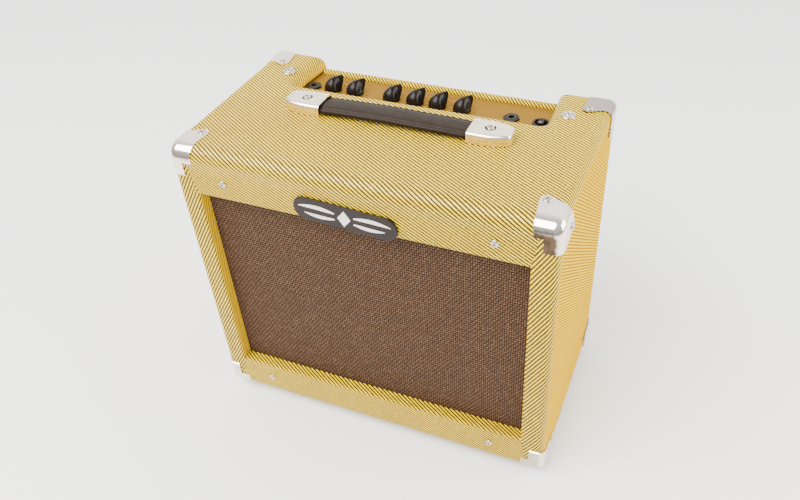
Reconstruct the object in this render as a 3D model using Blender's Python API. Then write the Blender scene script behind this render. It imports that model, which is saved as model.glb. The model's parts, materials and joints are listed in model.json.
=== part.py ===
"""Small open-back guitar combo amplifier: a cloth-covered box with a speaker behind a grille, a control panel let into
the top at the rear, a strap handle and chromed corners.

Cabinet coordinates used below, in millimetres: x runs left to right from the left side, y runs front to back from the
front face, z runs up from the underside of the cabinet. The empty "amp_origin" places them so that the world origin is
the bottom centre of the amplifier, standing on its feet. The controls face up, and the front faces -Y.
"""

import math

import bmesh
import bpy
from mathutils import Vector

MM = 0.001

# Cabinet
WIDTH = 380.0
DEPTH = 214.0
HEIGHT = 328.0
FOOT_HEIGHT = 10.0
BOARD = 15.0  # side and bottom boards
TOP_UNDERSIDE = 309.0  # top board is 19 thick
EDGE_ROUND = 8.6  # outer edges
FRONT_TOP_ROUND = 15.0  # round-over where the top meets the front
END_ROUND = 8.0  # round-over where the ends meet the other faces
GAP = 0.3  # clearance between touching pieces

# Front
FRONT_THICK = 12.5
OPENING = (25.0, 355.0, 44.0, 277.6)  # x low, x high, z low, z high
GRILLE_BACK = 13.5
BAFFLE = (13.8, 25.8)
SPEAKER_AXIS = (190.0, 158.0)  # x, z
SPEAKER_HOLE_R = 92.5

# Control recess in the top board
RECESS_X = (53.4, 323.8)
RECESS_LEAN = (0.086, 0.045)  # how far each side wall comes in per mm, from y = RECESS_BEND to the back
RECESS_BEND = 170.0
RECESS_Y = 144.5
RECESS_CORNER_R = 16.0
EAR_ROUND = 16.0
RECESS_FRONT_ROUND = 6.0
PANEL_TOP = 309.9
CONTROL_Y = 175.2
JACK_IN_X = 61.6
KNOB_X = (85.2, 111.1, 153.7, 180.2, 205.2, 232.0)
KNOB_POINTS = 38.0  # where the knobs point at rest, in degrees from +X towards +Y
JACK_OUT_X = 284.3
SWITCH_X = 314.6

# Handle
HANDLE_Y = 106.6
HANDLE_SCREW_X = (95.2, 284.8)
HANDLE_CAP_TOP = 11.4
HANDLE_CAP_INNER = 19.0  # from the screw to the end where the strap goes in

ROOT = None
MATERIALS = {}


# ---------------------------------------------------------------- scene helpers
def clear_scene():
    for obj in list(bpy.data.objects):
        bpy.data.objects.remove(obj, do_unlink=True)


def material(name, color, roughness, metallic=0.0):
    if name not in MATERIALS:
        m = bpy.data.materials.new(name)
        m.use_nodes = True
        b = m.node_tree.nodes["Principled BSDF"]
        b.inputs["Base Color"].default_value = (*color, 1.0)
        b.inputs["Roughness"].default_value = roughness
        b.inputs["Metallic"].default_value = metallic
        MATERIALS[name] = m
    return MATERIALS[name]


def make(name, bm, mat=None, origin=(0.0, 0.0, 0.0), smooth=True, helper=False):
    """One object from a bmesh in cabinet millimetres, with its own origin at the given point."""
    bmesh.ops.recalc_face_normals(bm, faces=bm.faces)
    o = Vector(origin)
    for v in bm.verts:
        v.co = (v.co - o) * MM
    mesh = bpy.data.meshes.new(name)
    bm.to_mesh(mesh)
    bm.free()
    obj = bpy.data.objects.new(name, mesh)
    bpy.context.scene.collection.objects.link(obj)
    obj.parent = ROOT
    obj.location = o * MM
    if helper:
        obj.hide_render = True
        obj.display_type = "WIRE"
    else:
        mesh.materials.append(mat)
        if smooth:
            mesh.shade_smooth()
            mesh.set_sharp_from_angle(angle=math.radians(35))
    return obj


def boolean(obj, other, operation="DIFFERENCE"):
    m = obj.modifiers.new(f"{operation.lower()}_{len(obj.modifiers)}", "BOOLEAN")
    m.operation = operation
    m.solver = "EXACT"
    m.object = other
    return obj


# ---------------------------------------------------------------- shape helpers
def loft(bm, rings, caps=True):
    """Joins rings of equal count with quads and closes both ends."""
    rows = [[bm.verts.new(p) for p in ring] for ring in rings]
    n = len(rows[0])
    for a, b in zip(rows, rows[1:]):
        for i in range(n):
            j = (i + 1) % n
            bm.faces.new((a[i], a[j], b[j], b[i]))
    if caps:
        bm.faces.new(rows[0][::-1])
        bm.faces.new(rows[-1])
    return bm


def prism(poly, axis, lo, hi, bm=None):
    """A polygon in the plane across an axis, extruded along it: X takes (y, z), Y takes (x, z), Z takes (x, y)."""
    bm = bm or bmesh.new()
    put = {
        "X": lambda a, b, h: (h, a, b),
        "Y": lambda a, b, h: (a, h, b),
        "Z": lambda a, b, h: (a, b, h),
    }[axis]
    return loft(bm, [[put(a, b, h) for a, b in poly] for h in (lo, hi)])


def rect(a0, a1, b0, b1):
    return [(a0, b0), (a1, b0), (a1, b1), (a0, b1)]


def block(x0, x1, y0, y1, z0, z1, bm=None):
    return prism(rect(x0, x1, y0, y1), "Z", z0, z1, bm)


def rounded(a0, a1, b0, b1, r, n=3):
    """Rounded rectangle, counter-clockwise."""
    out = []
    for ca, cb, s in (
        (a0 + r, b0 + r, 180),
        (a1 - r, b0 + r, 270),
        (a1 - r, b1 - r, 0),
        (a0 + r, b1 - r, 90),
    ):
        for k in range(n + 1):
            t = math.radians(s + 90 * k / n)
            out.append((ca + r * math.cos(t), cb + r * math.sin(t)))
    return out


def circle(ca, cb, r, n, start=0.0):
    return [
        (
            ca + r * math.cos(start + 2 * math.pi * k / n),
            cb + r * math.sin(start + 2 * math.pi * k / n),
        )
        for k in range(n)
    ]


def turned(profile, axis, centre, n, bm=None):
    """Revolves a closed profile of (radius, height) about an axis. Radius 0 makes a pole."""
    bm = bm or bmesh.new()
    cx, cy, cz = centre

    def put(r, h, t):
        c, s = r * math.cos(t), r * math.sin(t)
        if axis == "Z":
            return (cx + c, cy + s, cz + h)
        if axis == "Y":
            return (cx + c, cy + h, cz + s)
        return (cx + h, cy + c, cz + s)

    rows = []
    for r, h in profile:
        if r < 1e-6:
            rows.append([bm.verts.new(put(0, h, 0))])
        else:
            rows.append([bm.verts.new(put(r, h, 2 * math.pi * k / n)) for k in range(n)])
    pairs = list(zip(rows, rows[1:]))
    if len(rows[0]) > 1:
        pairs.append((rows[-1], rows[0]))
    for a, b in pairs:
        for k in range(n):
            j = (k + 1) % n
            if len(a) == 1 and len(b) == 1:
                break
            if len(a) == 1:
                bm.faces.new((a[0], b[j], b[k]))
            elif len(b) == 1:
                bm.faces.new((a[k], a[j], b[0]))
            else:
                bm.faces.new((a[k], a[j], b[j], b[k]))
    return bm


def end_profile(inset, n_front=5, n=3):
    """The cabinet's outline seen from its end, as (y, z), moved inwards by inset."""
    out = []
    for cy, cz, r, s, k_max in (
        (EDGE_ROUND, EDGE_ROUND, EDGE_ROUND, 180, n),
        (DEPTH - EDGE_ROUND, EDGE_ROUND, EDGE_ROUND, 270, n),
        (DEPTH - EDGE_ROUND, HEIGHT - EDGE_ROUND, EDGE_ROUND, 0, n),
        (FRONT_TOP_ROUND, HEIGHT - FRONT_TOP_ROUND, FRONT_TOP_ROUND, 90, n_front),
    ):
        for k in range(k_max + 1):
            t = math.radians(s + 90 * k / k_max)
            out.append((cy + (r - inset) * math.cos(t), cz + (r - inset) * math.sin(t)))
    return out


def end_rings(grow, inner_x, steps=3):
    """Rings of the cabinet's outer skin from its left end to x = inner_x, grown outwards by grow."""
    rings = []
    for k in range(steps + 1):
        t = math.radians(90 * (1 - k / steps))
        x = END_ROUND - (END_ROUND + grow) * math.sin(t)
        inset = END_ROUND - (END_ROUND + grow) * math.cos(t)
        rings.append([(x, y, z) for y, z in end_profile(inset)])
    rings.append([(inner_x, y, z) for y, z in end_profile(-grow)])
    return rings


def flip_x(rings):
    return [[(WIDTH - x, y, z) for x, y, z in ring] for ring in rings]


def envelope(grow, name):
    """The whole outer skin of the cabinet as a solid, for cutting."""
    bm = bmesh.new()
    left = end_rings(grow, WIDTH / 2)
    right = flip_x(end_rings(grow, WIDTH / 2))[:-1]
    loft(bm, left + right[::-1])
    return make(name, bm, helper=True)


def recess_side(z):
    """How far the recess is wider at height z than at its narrowest: rolled over above, and rounded under below."""
    below = ((309.0, 5.5), (309.9, 3.6), (311.0, 1.9), (312.0, 0.8), (313.0, 0.1))
    if z <= below[0][0]:
        return below[0][1]
    for (za, sa), (zb, sb) in zip(below, below[1:]):
        if z <= zb:
            return sa + (sb - sa) * (z - za) / (zb - za)
    zz = min(z - (HEIGHT - EAR_ROUND), EAR_ROUND)
    return EAR_ROUND - math.sqrt(EAR_ROUND**2 - zz**2)


def recess_cutter():
    """The control recess: its side walls lean in a little towards the back, and the ears' top edges are rolled over."""
    rings = []
    for z in (300.0, 309.0, 309.9, 311.0, 312.0, 313.0, 316.0, 319.0, 322.0, 324.5, 326.5, HEIGHT, 340.0):
        side = recess_side(z)
        zf = min(max(z - (HEIGHT - RECESS_FRONT_ROUND), 0.0), RECESS_FRONT_ROUND)
        front = RECESS_FRONT_ROUND - math.sqrt(RECESS_FRONT_ROUND**2 - zf**2)
        if z > HEIGHT:
            side += 2.0
            front += 2.0
        x0, x1 = RECESS_X[0] - side, RECESS_X[1] + side
        y0, r = RECESS_Y - front, RECESS_CORNER_R
        back = DEPTH + 12.0
        run = back - RECESS_BEND
        ring = [(x0 + RECESS_LEAN[0] * run, back), (x0, RECESS_BEND)]
        for cx, s in ((x0 + r, 180), (x1 - r, 270)):
            for k in range(6):
                t = math.radians(s + 90 * k / 5)
                ring.append((cx + r * math.cos(t), y0 + r + r * math.sin(t)))
        ring += [(x1, RECESS_BEND), (x1 - RECESS_LEAN[1] * run, back)]
        rings.append([(x, y, z) for x, y in ring])
    return make("recess_cutter", loft(bmesh.new(), rings), helper=True)


def drill(obj, x, y, z, r, length, axis, name, n=12):
    """A round hole through a piece."""
    if axis == "Z":
        poly = circle(x, y, r, n, math.pi / n)
        bm = prism(poly, "Z", z - length / 2, z + length / 2)
    elif axis == "Y":
        poly = circle(x, z, r, n, math.pi / n)
        bm = prism(poly, "Y", y - length / 2, y + length / 2)
    else:
        poly = circle(y, z, r, n, math.pi / n)
        bm = prism(poly, "X", x - length / 2, x + length / 2)
    return boolean(obj, make(name, bm, helper=True))


# ---------------------------------------------------------------- cabinet
def build_cabinet():
    tweed = material("tweed_cloth", (0.78, 0.58, 0.22), 0.85)
    wood = material("painted_board", (0.03, 0.03, 0.03), 0.7)
    make("side_left", loft(bmesh.new(), end_rings(0.0, BOARD)), tweed)
    make("side_right", loft(bmesh.new(), flip_x(end_rings(0.0, BOARD))), tweed)

    x0, x1 = BOARD + GAP, WIDTH - BOARD - GAP
    r = FRONT_TOP_ROUND
    profile = []
    for k in range(6):
        t = math.radians(90 + 90 * k / 5)
        profile.append((r + r * math.cos(t), HEIGHT - r + r * math.sin(t)))
    profile += [(0.0, TOP_UNDERSIDE), (DEPTH, TOP_UNDERSIDE)]
    e = EDGE_ROUND
    for k in range(4):
        t = math.radians(90 * k / 3)
        profile.append((DEPTH - e + e * math.cos(t), HEIGHT - e + e * math.sin(t)))
    top = make("top_board", prism(profile, "X", x0, x1), tweed)
    boolean(top, recess_cutter())

    profile = []
    for cy, s in ((e, 180), (DEPTH - e, 270)):
        for k in range(4):
            t = math.radians(s + 90 * k / 3)
            profile.append((cy + e * math.cos(t), e + e * math.sin(t)))
    profile += [(DEPTH, BOARD), (0.0, BOARD)]
    make("bottom_board", prism(profile, "X", x0, x1), tweed)

    frame = make(
        "front_frame",
        block(x0, x1, 0.0, FRONT_THICK, BOARD + GAP, TOP_UNDERSIDE - GAP),
        tweed,
    )
    ox0, ox1, oz0, oz1 = OPENING
    boolean(frame, make("opening_cutter", block(ox0, ox1, -5, 20, oz0, oz1), helper=True))

    cloth = material("grille_cloth", (0.16, 0.09, 0.06), 0.9)
    make(
        "grille_cloth",
        block(x0 + 4, x1 - 4, FRONT_THICK + GAP, GRILLE_BACK, 30.0, 294.0),
        cloth,
    )
    baffle = make(
        "baffle_board",
        block(x0 + 0.4, x1 - 0.4, BAFFLE[0], BAFFLE[1], BOARD + GAP, TOP_UNDERSIDE - GAP),
        wood,
    )
    cutter = prism(circle(*SPEAKER_AXIS, SPEAKER_HOLE_R, 32), "Y", 5, 35)
    boolean(baffle, make("speaker_hole_cutter", cutter, helper=True))

    # Back: the upper panel stands up between the ears, and the lower one leaves the middle open.
    y0, y1 = 204.6, DEPTH - 1.0
    upper = prism(rect(x0, x1, 208.0, TOP_UNDERSIDE - GAP), "Y", y0, y1)
    panel = make("upper_back_panel", upper, tweed)
    lip = ((300.0, 0.0), (310.2, 0.0), (312.3, 0.6), (313.5, 1.8), (314.0, 3.5))
    strip = loft(
        bmesh.new(),
        [
            [(x, y0 + d, z) for z, d in lip] + [(x, y1 - d, z) for z, d in lip[::-1]]
            for x in (57.6, 321.4)
        ],
    )
    boolean(panel, make("panel_lip", strip, helper=True), "UNION")
    boolean(panel, make("plate_window", block(236, 324, 190, 230, 232, 280), helper=True))
    make("lower_back_panel", prism(rect(x0, x1, BOARD + GAP, 96.0), "Y", y0, y1), tweed)

    rubber = material("rubber_foot", (0.03, 0.03, 0.03), 0.75)
    for side, x in (("left", 44.0), ("right", WIDTH - 44.0)):
        for end, y in (("front", 38.0), ("rear", DEPTH - 38.0)):
            profile = [(0, -FOOT_HEIGHT), (9.0, -FOOT_HEIGHT), (10.5, -8.8), (12.5, -GAP), (0, -GAP)]
            make(f"foot_{end}_{side}", turned(profile, "Z", (x, y, 0), 20), rubber, (x, y, 0))


def build_corners():
    """Pressed metal corners with three lobes, one on each face."""
    chrome = material("chrome_corner", (0.82, 0.82, 0.83), 0.12, 1.0)
    outer, inner = envelope(1.5, "corner_outer"), envelope(GAP, "corner_inner")
    top_lobe = [(-6, -6), (24, -6), (26, 20), (27.5, 31), (25, 34.5), (21, 36), (16, 33.5), (-6, 26)]
    front_lobe = [(-6, -6), (23.4, -6), (23, 12), (21.5, 14.3), (10.6, 15.4), (9, 24), (6, 29.5), (-6, 30)]
    side_lobe = [(-6, -6), (26, -6), (34, 16), (36, 21), (34.5, 25), (31, 27.5), (20, 28.5), (9, 31), (-6, 31)]
    plain = [(-6, -6), (24, -6), (26, 20), (27.5, 31), (25, 34.5), (21, 36), (16, 33.5), (-6, 26)]
    for level in ("top", "bottom"):
        for end in ("front", "rear"):
            for side in ("left", "right"):

                def at(u, v, w, side=side, end=end, level=level):
                    return (
                        u if side == "left" else WIDTH - u,
                        v if end == "front" else DEPTH - v,
                        HEIGHT - w if level == "top" else w,
                    )

                name = f"corner_{end}_{level}_{side}"
                deep = 16.0
                mouth = front_lobe if end == "front" else plain
                solids = [
                    [[at(u, v, h) for u, v in top_lobe] for h in (-6.2, deep)],
                    [[at(u, h, w) for u, w in mouth] for h in (-6.4, deep - 0.3)],
                    [[at(h, v, w) for v, w in side_lobe] for h in (-6.6, deep - 0.6)],
                ]
                body = make(name, loft(bmesh.new(), solids[0]), chrome)
                for k, rings in enumerate(solids[1:]):
                    other = make(f"{name}_lobe_{k}", loft(bmesh.new(), rings), helper=True)
                    boolean(body, other, "UNION")
                boolean(body, outer, "INTERSECT")
                boolean(body, inner)


# ---------------------------------------------------------------- hardware
def screw(name, point, direction, radius, height, mat, n=12):
    """A domed screw head whose underside stands a hair off the surface."""
    x, y, z = point
    g = GAP
    profile = [
        (0, g),
        (radius, g),
        (radius * 0.93, g + height * 0.55),
        (radius * 0.55, g + height * 0.92),
        (0, g + height),
    ]
    sign = -1.0 if direction.startswith("-") else 1.0
    profile = [(r, h * sign) for r, h in profile]
    return make(name, turned(profile, direction[-1], (x, y, z), n), mat, (x, y, z))


def build_hardware():
    steel = material("screw_steel", (0.75, 0.74, 0.72), 0.25, 1.0)
    for k, (x, z) in enumerate(((56, 296.5), (324, 296.5), (58.3, 24), (321.7, 24))):
        screw(f"front_screw_{k + 1}", (x, 0, z), "-Y", 4.2, 2.0, steel)
    # Countersunk chassis screws in cup washers
    for side, x in (("left", 37.6), ("right", WIDTH - 37.6)):
        g = GAP
        profile = [(0, g), (7.3, g), (6.9, g + 0.9), (4.8, g + 1.7), (3.4, g + 1.6), (1.8, g + 2.3), (0, g + 2.5)]
        make(
            f"chassis_screw_{side}",
            turned(profile, "Z", (x, 168, HEIGHT), 14),
            steel,
            (x, 168, HEIGHT),
        )

    # Handle: two pressed end caps, each screwed down over the end of a reinforced strap
    chrome = material("chrome_cap", (0.85, 0.85, 0.85), 0.15, 1.0)
    strap_mat = material("handle_strap", (0.05, 0.035, 0.03), 0.5)
    half = 15.0
    top = HEIGHT + HANDLE_CAP_TOP
    for side, s, cx in (("left", -1.0, HANDLE_SCREW_X[0]), ("right", 1.0, HANDLE_SCREW_X[1])):
        outline = [
            (-HANDLE_CAP_INNER, -half), (-1.0, -half), (6.0, -half + 0.8), (13.0, -half + 2.4), (18.6, -half + 4.4), (21.2, -half + 6.4), (22.0, -half + 9.0), (22.0, 0.0),
        ]
        outline = outline + [(a, -b) for a, b in outline[-2::-1]]
        rings = []
        for z, d in ((GAP, 0.0), (8.0, 0.0), (10.2, 0.7), (11.0, 1.9), (HANDLE_CAP_TOP, 3.6)):
            ring = []
            for a, b in outline:
                inner = a < 0.1 - HANDLE_CAP_INNER
                k = 1.0 - d / half
                ring.append((cx + s * (a if inner else (a + 2.0) * k - 2.0), HANDLE_Y + b * k, HEIGHT + z))
            rings.append(ring)
        cap = make(f"handle_cap_{side}", loft(bmesh.new(), rings), chrome)
        # The strap enters the cap from its inner end.
        lo, hi = sorted((cx - s * (HANDLE_CAP_INNER + 6.0), cx - s * (HANDLE_CAP_INNER - 6.0)))
        slot = block(lo, hi, HANDLE_Y - 12.6, HANDLE_Y + 12.6, HEIGHT + 2.4, HEIGHT + 9.6)
        boolean(cap, make(f"strap_slot_{side}", slot, helper=True))
        screw(f"handle_screw_{side}", (cx, HANDLE_Y, top), "+Z", 3.6, 1.3, steel)

    # Strap: flat belt with a raised core and a groove along each edge; its ends are narrower, inside the caps
    z0 = HEIGHT + 2.6
    section = [
        (-13.6, 0.6), (-12.4, 0.0), (12.4, 0.0), (13.6, 0.6), (13.8, 3.4), (12.6, 4.6), (11.6, 4.9), (11.0, 4.5),
        (10.4, 4.6), (9.4, 5.7), (0.0, 6.4), (-9.4, 5.7), (-10.4, 4.6), (-11.0, 4.5), (-11.6, 4.9), (-12.6, 4.6), (-13.8, 3.4),
    ]
    left, right = HANDLE_SCREW_X[0] + HANDLE_CAP_INNER, HANDLE_SCREW_X[1] - HANDLE_CAP_INNER
    stations = [(left - 5.4, 0.885), (left + 0.35, 0.885), (left + 0.5, 1.0)]
    stations += [(left + (right - left) * k / 10, 1.0) for k in range(1, 10)]
    stations += [(right - 0.5, 1.0), (right - 0.35, 0.885), (right + 5.4, 0.885)]
    rings = []
    for x, k in stations:
        u = (x - WIDTH / 2) / ((right - left) / 2)
        rise = 1.6 * max(0.0, 1 - u * u)
        rings.append([(x, HANDLE_Y + y * k, z0 + rise + z) for y, z in section])
    make("handle_strap", loft(bmesh.new(), rings), strap_mat)

    # Name plate on the front, at a slant
    plate = material("name_plate", (0.05, 0.04, 0.04), 0.35)
    cx, cz, tilt = 184.0, 289.0, math.radians(-3.0)
    outline = []
    for a, b in rounded(-52.0, 52.0, -12.5, 12.5, 12.0, 4):
        outline.append((cx + a * math.cos(tilt) - b * math.sin(tilt), cz + a * math.sin(tilt) + b * math.cos(tilt)))
    make("name_plate", prism(outline, "Y", -3.4, -GAP), plate)


# ---------------------------------------------------------------- electronics
def build_electronics():
    zinc = material("zinc_chassis", (0.6, 0.6, 0.6), 0.4, 1.0)
    top = TOP_UNDERSIDE - GAP
    t = 1.6
    y0, y1 = 146.0, 204.2
    section = [
        (y0, 262.0), (y0 + t, 262.0), (y0 + t, top - t), (y1 - t, top - t), (y1 - t, 273.0), (y1, 273.0), (y1, top), (y0, top),
    ]
    tray = make("chassis_tray", prism(section, "X", 22.0, 358.0), zinc)
    gold = material("control_panel", (0.52, 0.32, 0.10), 0.5)
    r = RECESS_CORNER_R
    a0, a1 = RECESS_X[0] - 3.2, RECESS_X[1] + 3.2
    front = RECESS_Y + 0.8
    run = y1 - RECESS_BEND
    outline = [(a0 + RECESS_LEAN[0] * run, y1), (a0, RECESS_BEND)]
    for cx, q0 in ((a0 + r, 180), (a1 - r, 270)):
        for k in range(5):
            q = math.radians(q0 + 90 * k / 4)
            outline.append((cx + r * math.cos(q), front + r + r * math.sin(q)))
    outline += [(a1, RECESS_BEND), (a1 - RECESS_LEAN[1] * run, y1)]
    panel = make("control_panel", prism(outline, "Z", top + GAP, PANEL_TOP), gold)

    for k, x in enumerate(KNOB_X):
        drill(tray, x, CONTROL_Y, top, 4.2, 12, "Z", f"shaft_hole_{k}")
        drill(panel, x, CONTROL_Y, top, 4.0, 12, "Z", f"panel_hole_{k}")
    for k, (x, rr) in enumerate(((JACK_IN_X, 5.4), (JACK_OUT_X, 5.4), (SWITCH_X, 7.6))):
        drill(tray, x, CONTROL_Y, top, rr, 12, "Z", f"tray_hole_{k}", 16)
        drill(panel, x, CONTROL_Y, top, rr, 12, "Z", f"panel_round_{k}", 16)

    # Control board with its six potentiometers, and two posts up to the chassis
    green = material("circuit_board", (0.02, 0.12, 0.05), 0.5)
    board = make("control_board", block(76, 246, 153, 196, 282.0, 283.8), green)
    for k, x in enumerate(KNOB_X):
        pot = block(x - 8.0, x + 8.0, CONTROL_Y - 9.0, CONTROL_Y + 9.0, 283.0, 299.0)
        boolean(board, make(f"pot_{k}", pot, helper=True), "UNION")
    for k, x in enumerate((131.0, 242.0)):
        post = prism(circle(x, 158.0, 2.6, 8), "Z", 283.0, top - t - GAP)
        boolean(board, make(f"board_post_{k}", post, helper=True), "UNION")

    # Jacks: a moulded body under the chassis with a threaded bush, held by a hexagonal nut
    black = material("jack_plastic", (0.04, 0.035, 0.03), 0.45)
    nut_mat = material("jack_nut", (0.06, 0.05, 0.045), 0.4)
    for name, x in (("input_jack", JACK_IN_X), ("output_jack", JACK_OUT_X)):
        body = make(name, block(x - 8.5, x + 8.5, CONTROL_Y - 11, CONTROL_Y + 11, 280.0, 304.5), black)
        bush = prism(circle(x, CONTROL_Y, 5.0, 16), "Z", 300.0, PANEL_TOP + 2.4)
        boolean(body, make(f"{name}_bush", bush, helper=True), "UNION")
        bore = prism(circle(x, CONTROL_Y, 3.35, 12, math.pi / 12), "Z", 284.0, 330.0)
        boolean(body, make(f"{name}_bore", bore, helper=True))
        profile = [(0, 0.3), (8.6, 0.3), (8.6, 1.5), (7.9, 2.2), (0, 2.2)]
        bm = turned(profile, "Z", (x, CONTROL_Y, PANEL_TOP), 6)
        nut = make(f"{name}_nut", bm, nut_mat, smooth=False)
        drill(nut, x, CONTROL_Y, PANEL_TOP, 5.4, 20, "Z", f"{name}_nut_hole", 16)

    # Round rocker switch: the rocker tips on a pin across the switch body
    body = [(0, -24.0), (7.1, -24.0), (7.1, 0.3), (8.7, 0.3), (8.7, 0.9), (8.2, 1.4), (6.4, 1.4), (6.4, -5.4), (0, -5.4)]
    make("power_switch_body", turned(body, "Z", (SWITCH_X, CONTROL_Y, PANEL_TOP), 20), black)
    pivot = (SWITCH_X, CONTROL_Y, PANEL_TOP - 0.4)
    red = material("switch_rocker", (0.10, 0.02, 0.015), 0.25)
    rocker = [
        (-4.4, 1.0), (-4.5, 3.6), (-3.0, 3.5), (0.0, 3.1), (2.6, 3.2), (4.2, 3.4), (4.4, 1.0), (3.6, -1.4), (1.5, -3.0), (-1.5, -3.0), (-3.6, -1.4),
    ]
    px, py, pz = pivot
    rocker = [(py + a, pz + b) for a, b in rocker]
    make("power_rocker", prism(rocker, "X", SWITCH_X - 3.0, SWITCH_X + 3.0), red, pivot)

    # Rear: a metal plate in the window of the upper back panel carries the mains inlet
    plate = make("inlet_plate", block(228, 332, DEPTH - 0.7, DEPTH + 0.9, 226, 286), zinc)
    inlet_mat = material("inlet_plastic", (0.03, 0.03, 0.03), 0.5)
    boolean(plate, make("inlet_hole", block(265.6, 294.4, 200, 230, 244.6, 267.4), helper=True))
    ix, iz = 280.0, 256.0
    inlet = make("mains_inlet", block(ix - 14, ix + 14, 203.0, DEPTH + 1.2, iz - 11, iz + 11), inlet_mat)
    flange = prism(rounded(ix - 25, ix + 25, iz - 13.5, iz + 13.5, 5.0), "Y", DEPTH + 1.2, DEPTH + 3.4)
    boolean(inlet, make("inlet_flange", flange, helper=True), "UNION")
    mouth = [(-12.0, -8.2), (12.0, -8.2), (12.0, 4.0), (7.6, 8.2), (-7.6, 8.2), (-12.0, 4.0)]
    socket = prism([(ix + a, iz + b) for a, b in mouth], "Y", DEPTH - 7.0, DEPTH + 12.0)
    boolean(inlet, make("inlet_socket", socket, helper=True))
    for k, (a, b) in enumerate(((-7.0, -2.0), (0.0, 2.0), (7.0, -2.0))):
        pin = block(ix + a - 1.0, ix + a + 1.0, DEPTH - 9.0, DEPTH - 0.5, iz + b - 2.0, iz + b + 2.0)
        boolean(inlet, make(f"inlet_pin_{k}", pin, helper=True), "UNION")

    # Mains transformer: laminated core with a wound bobbin, bolted to the bottom board
    iron = material("transformer_iron", (0.10, 0.10, 0.11), 0.5, 0.6)
    cx, cy = 318.0, 168.0
    core = make("power_transformer", block(cx - 28, cx + 28, cy - 14, cy + 14, BOARD + GAP, 64.0), iron)
    coil = prism(rounded(cx - 17, cx + 17, cy - 24, cy + 24, 6.0), "Z", 24.0, 55.0)
    boolean(core, make("transformer_coil", coil, helper=True), "UNION")
    flange = block(cx - 38, cx + 38, cy - 10, cy + 10, BOARD + GAP, 18.0)
    boolean(core, make("transformer_flange", flange, helper=True), "UNION")


def chicken_head():
    """Pointer knob: a round skirt with a tall ridge across it that runs out into a beak. Points along +X."""
    bm = bmesh.new()
    # Skirt and crown as rings; the ridge pulls in the rings sideways towards the top.
    n = 20
    rings = []
    levels = (
        # height, half-length towards beak, half-length towards tail, half-width
        (1.2, 9.3, 9.3, 9.3),
        (3.0, 9.6, 9.2, 9.0),
        (4.6, 10.9, 9.0, 8.0),
        (7.0, 11.7, 8.5, 6.2),
        (9.6, 12.1, 7.4, 4.7),
        (12.0, 12.3, 5.4, 3.5),
        (13.6, 12.1, 3.0, 2.7),
        (14.5, 11.4, 0.6, 1.8),
    )
    for z, beak, tail, width in levels:
        ring = []
        for k in range(n):
            t = 2 * math.pi * k / n
            c, s = math.cos(t), math.sin(t)
            x = c * (beak if c > 0 else tail)
            narrow = 1.0
            if z > 3.5 and c > 0:
                narrow = 1.0 - 0.55 * c**1.5
            ring.append((x, s * width * narrow, z))
        rings.append(ring)
    loft(bm, rings)
    return bm


def build_knobs():
    mat = material("knob_plastic", (0.045, 0.035, 0.03), 0.3)
    for k, x in enumerate(KNOB_X):
        bm = chicken_head()
        a = math.radians(KNOB_POINTS)
        for v in bm.verts:
            p = v.co.copy()
            v.co = Vector(
                (
                    x + p.x * math.cos(a) - p.y * math.sin(a),
                    CONTROL_Y + p.x * math.sin(a) + p.y * math.cos(a),
                    PANEL_TOP + p.z,
                )
            )
        knob = make(f"knob_{k + 1}", bm, mat, (x, CONTROL_Y, PANEL_TOP))
        shaft = prism(circle(x, CONTROL_Y, 3.0, 12), "Z", 299.3, PANEL_TOP + 3.0)
        boolean(knob, make(f"knob_shaft_{k}", shaft, helper=True), "UNION")


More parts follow.
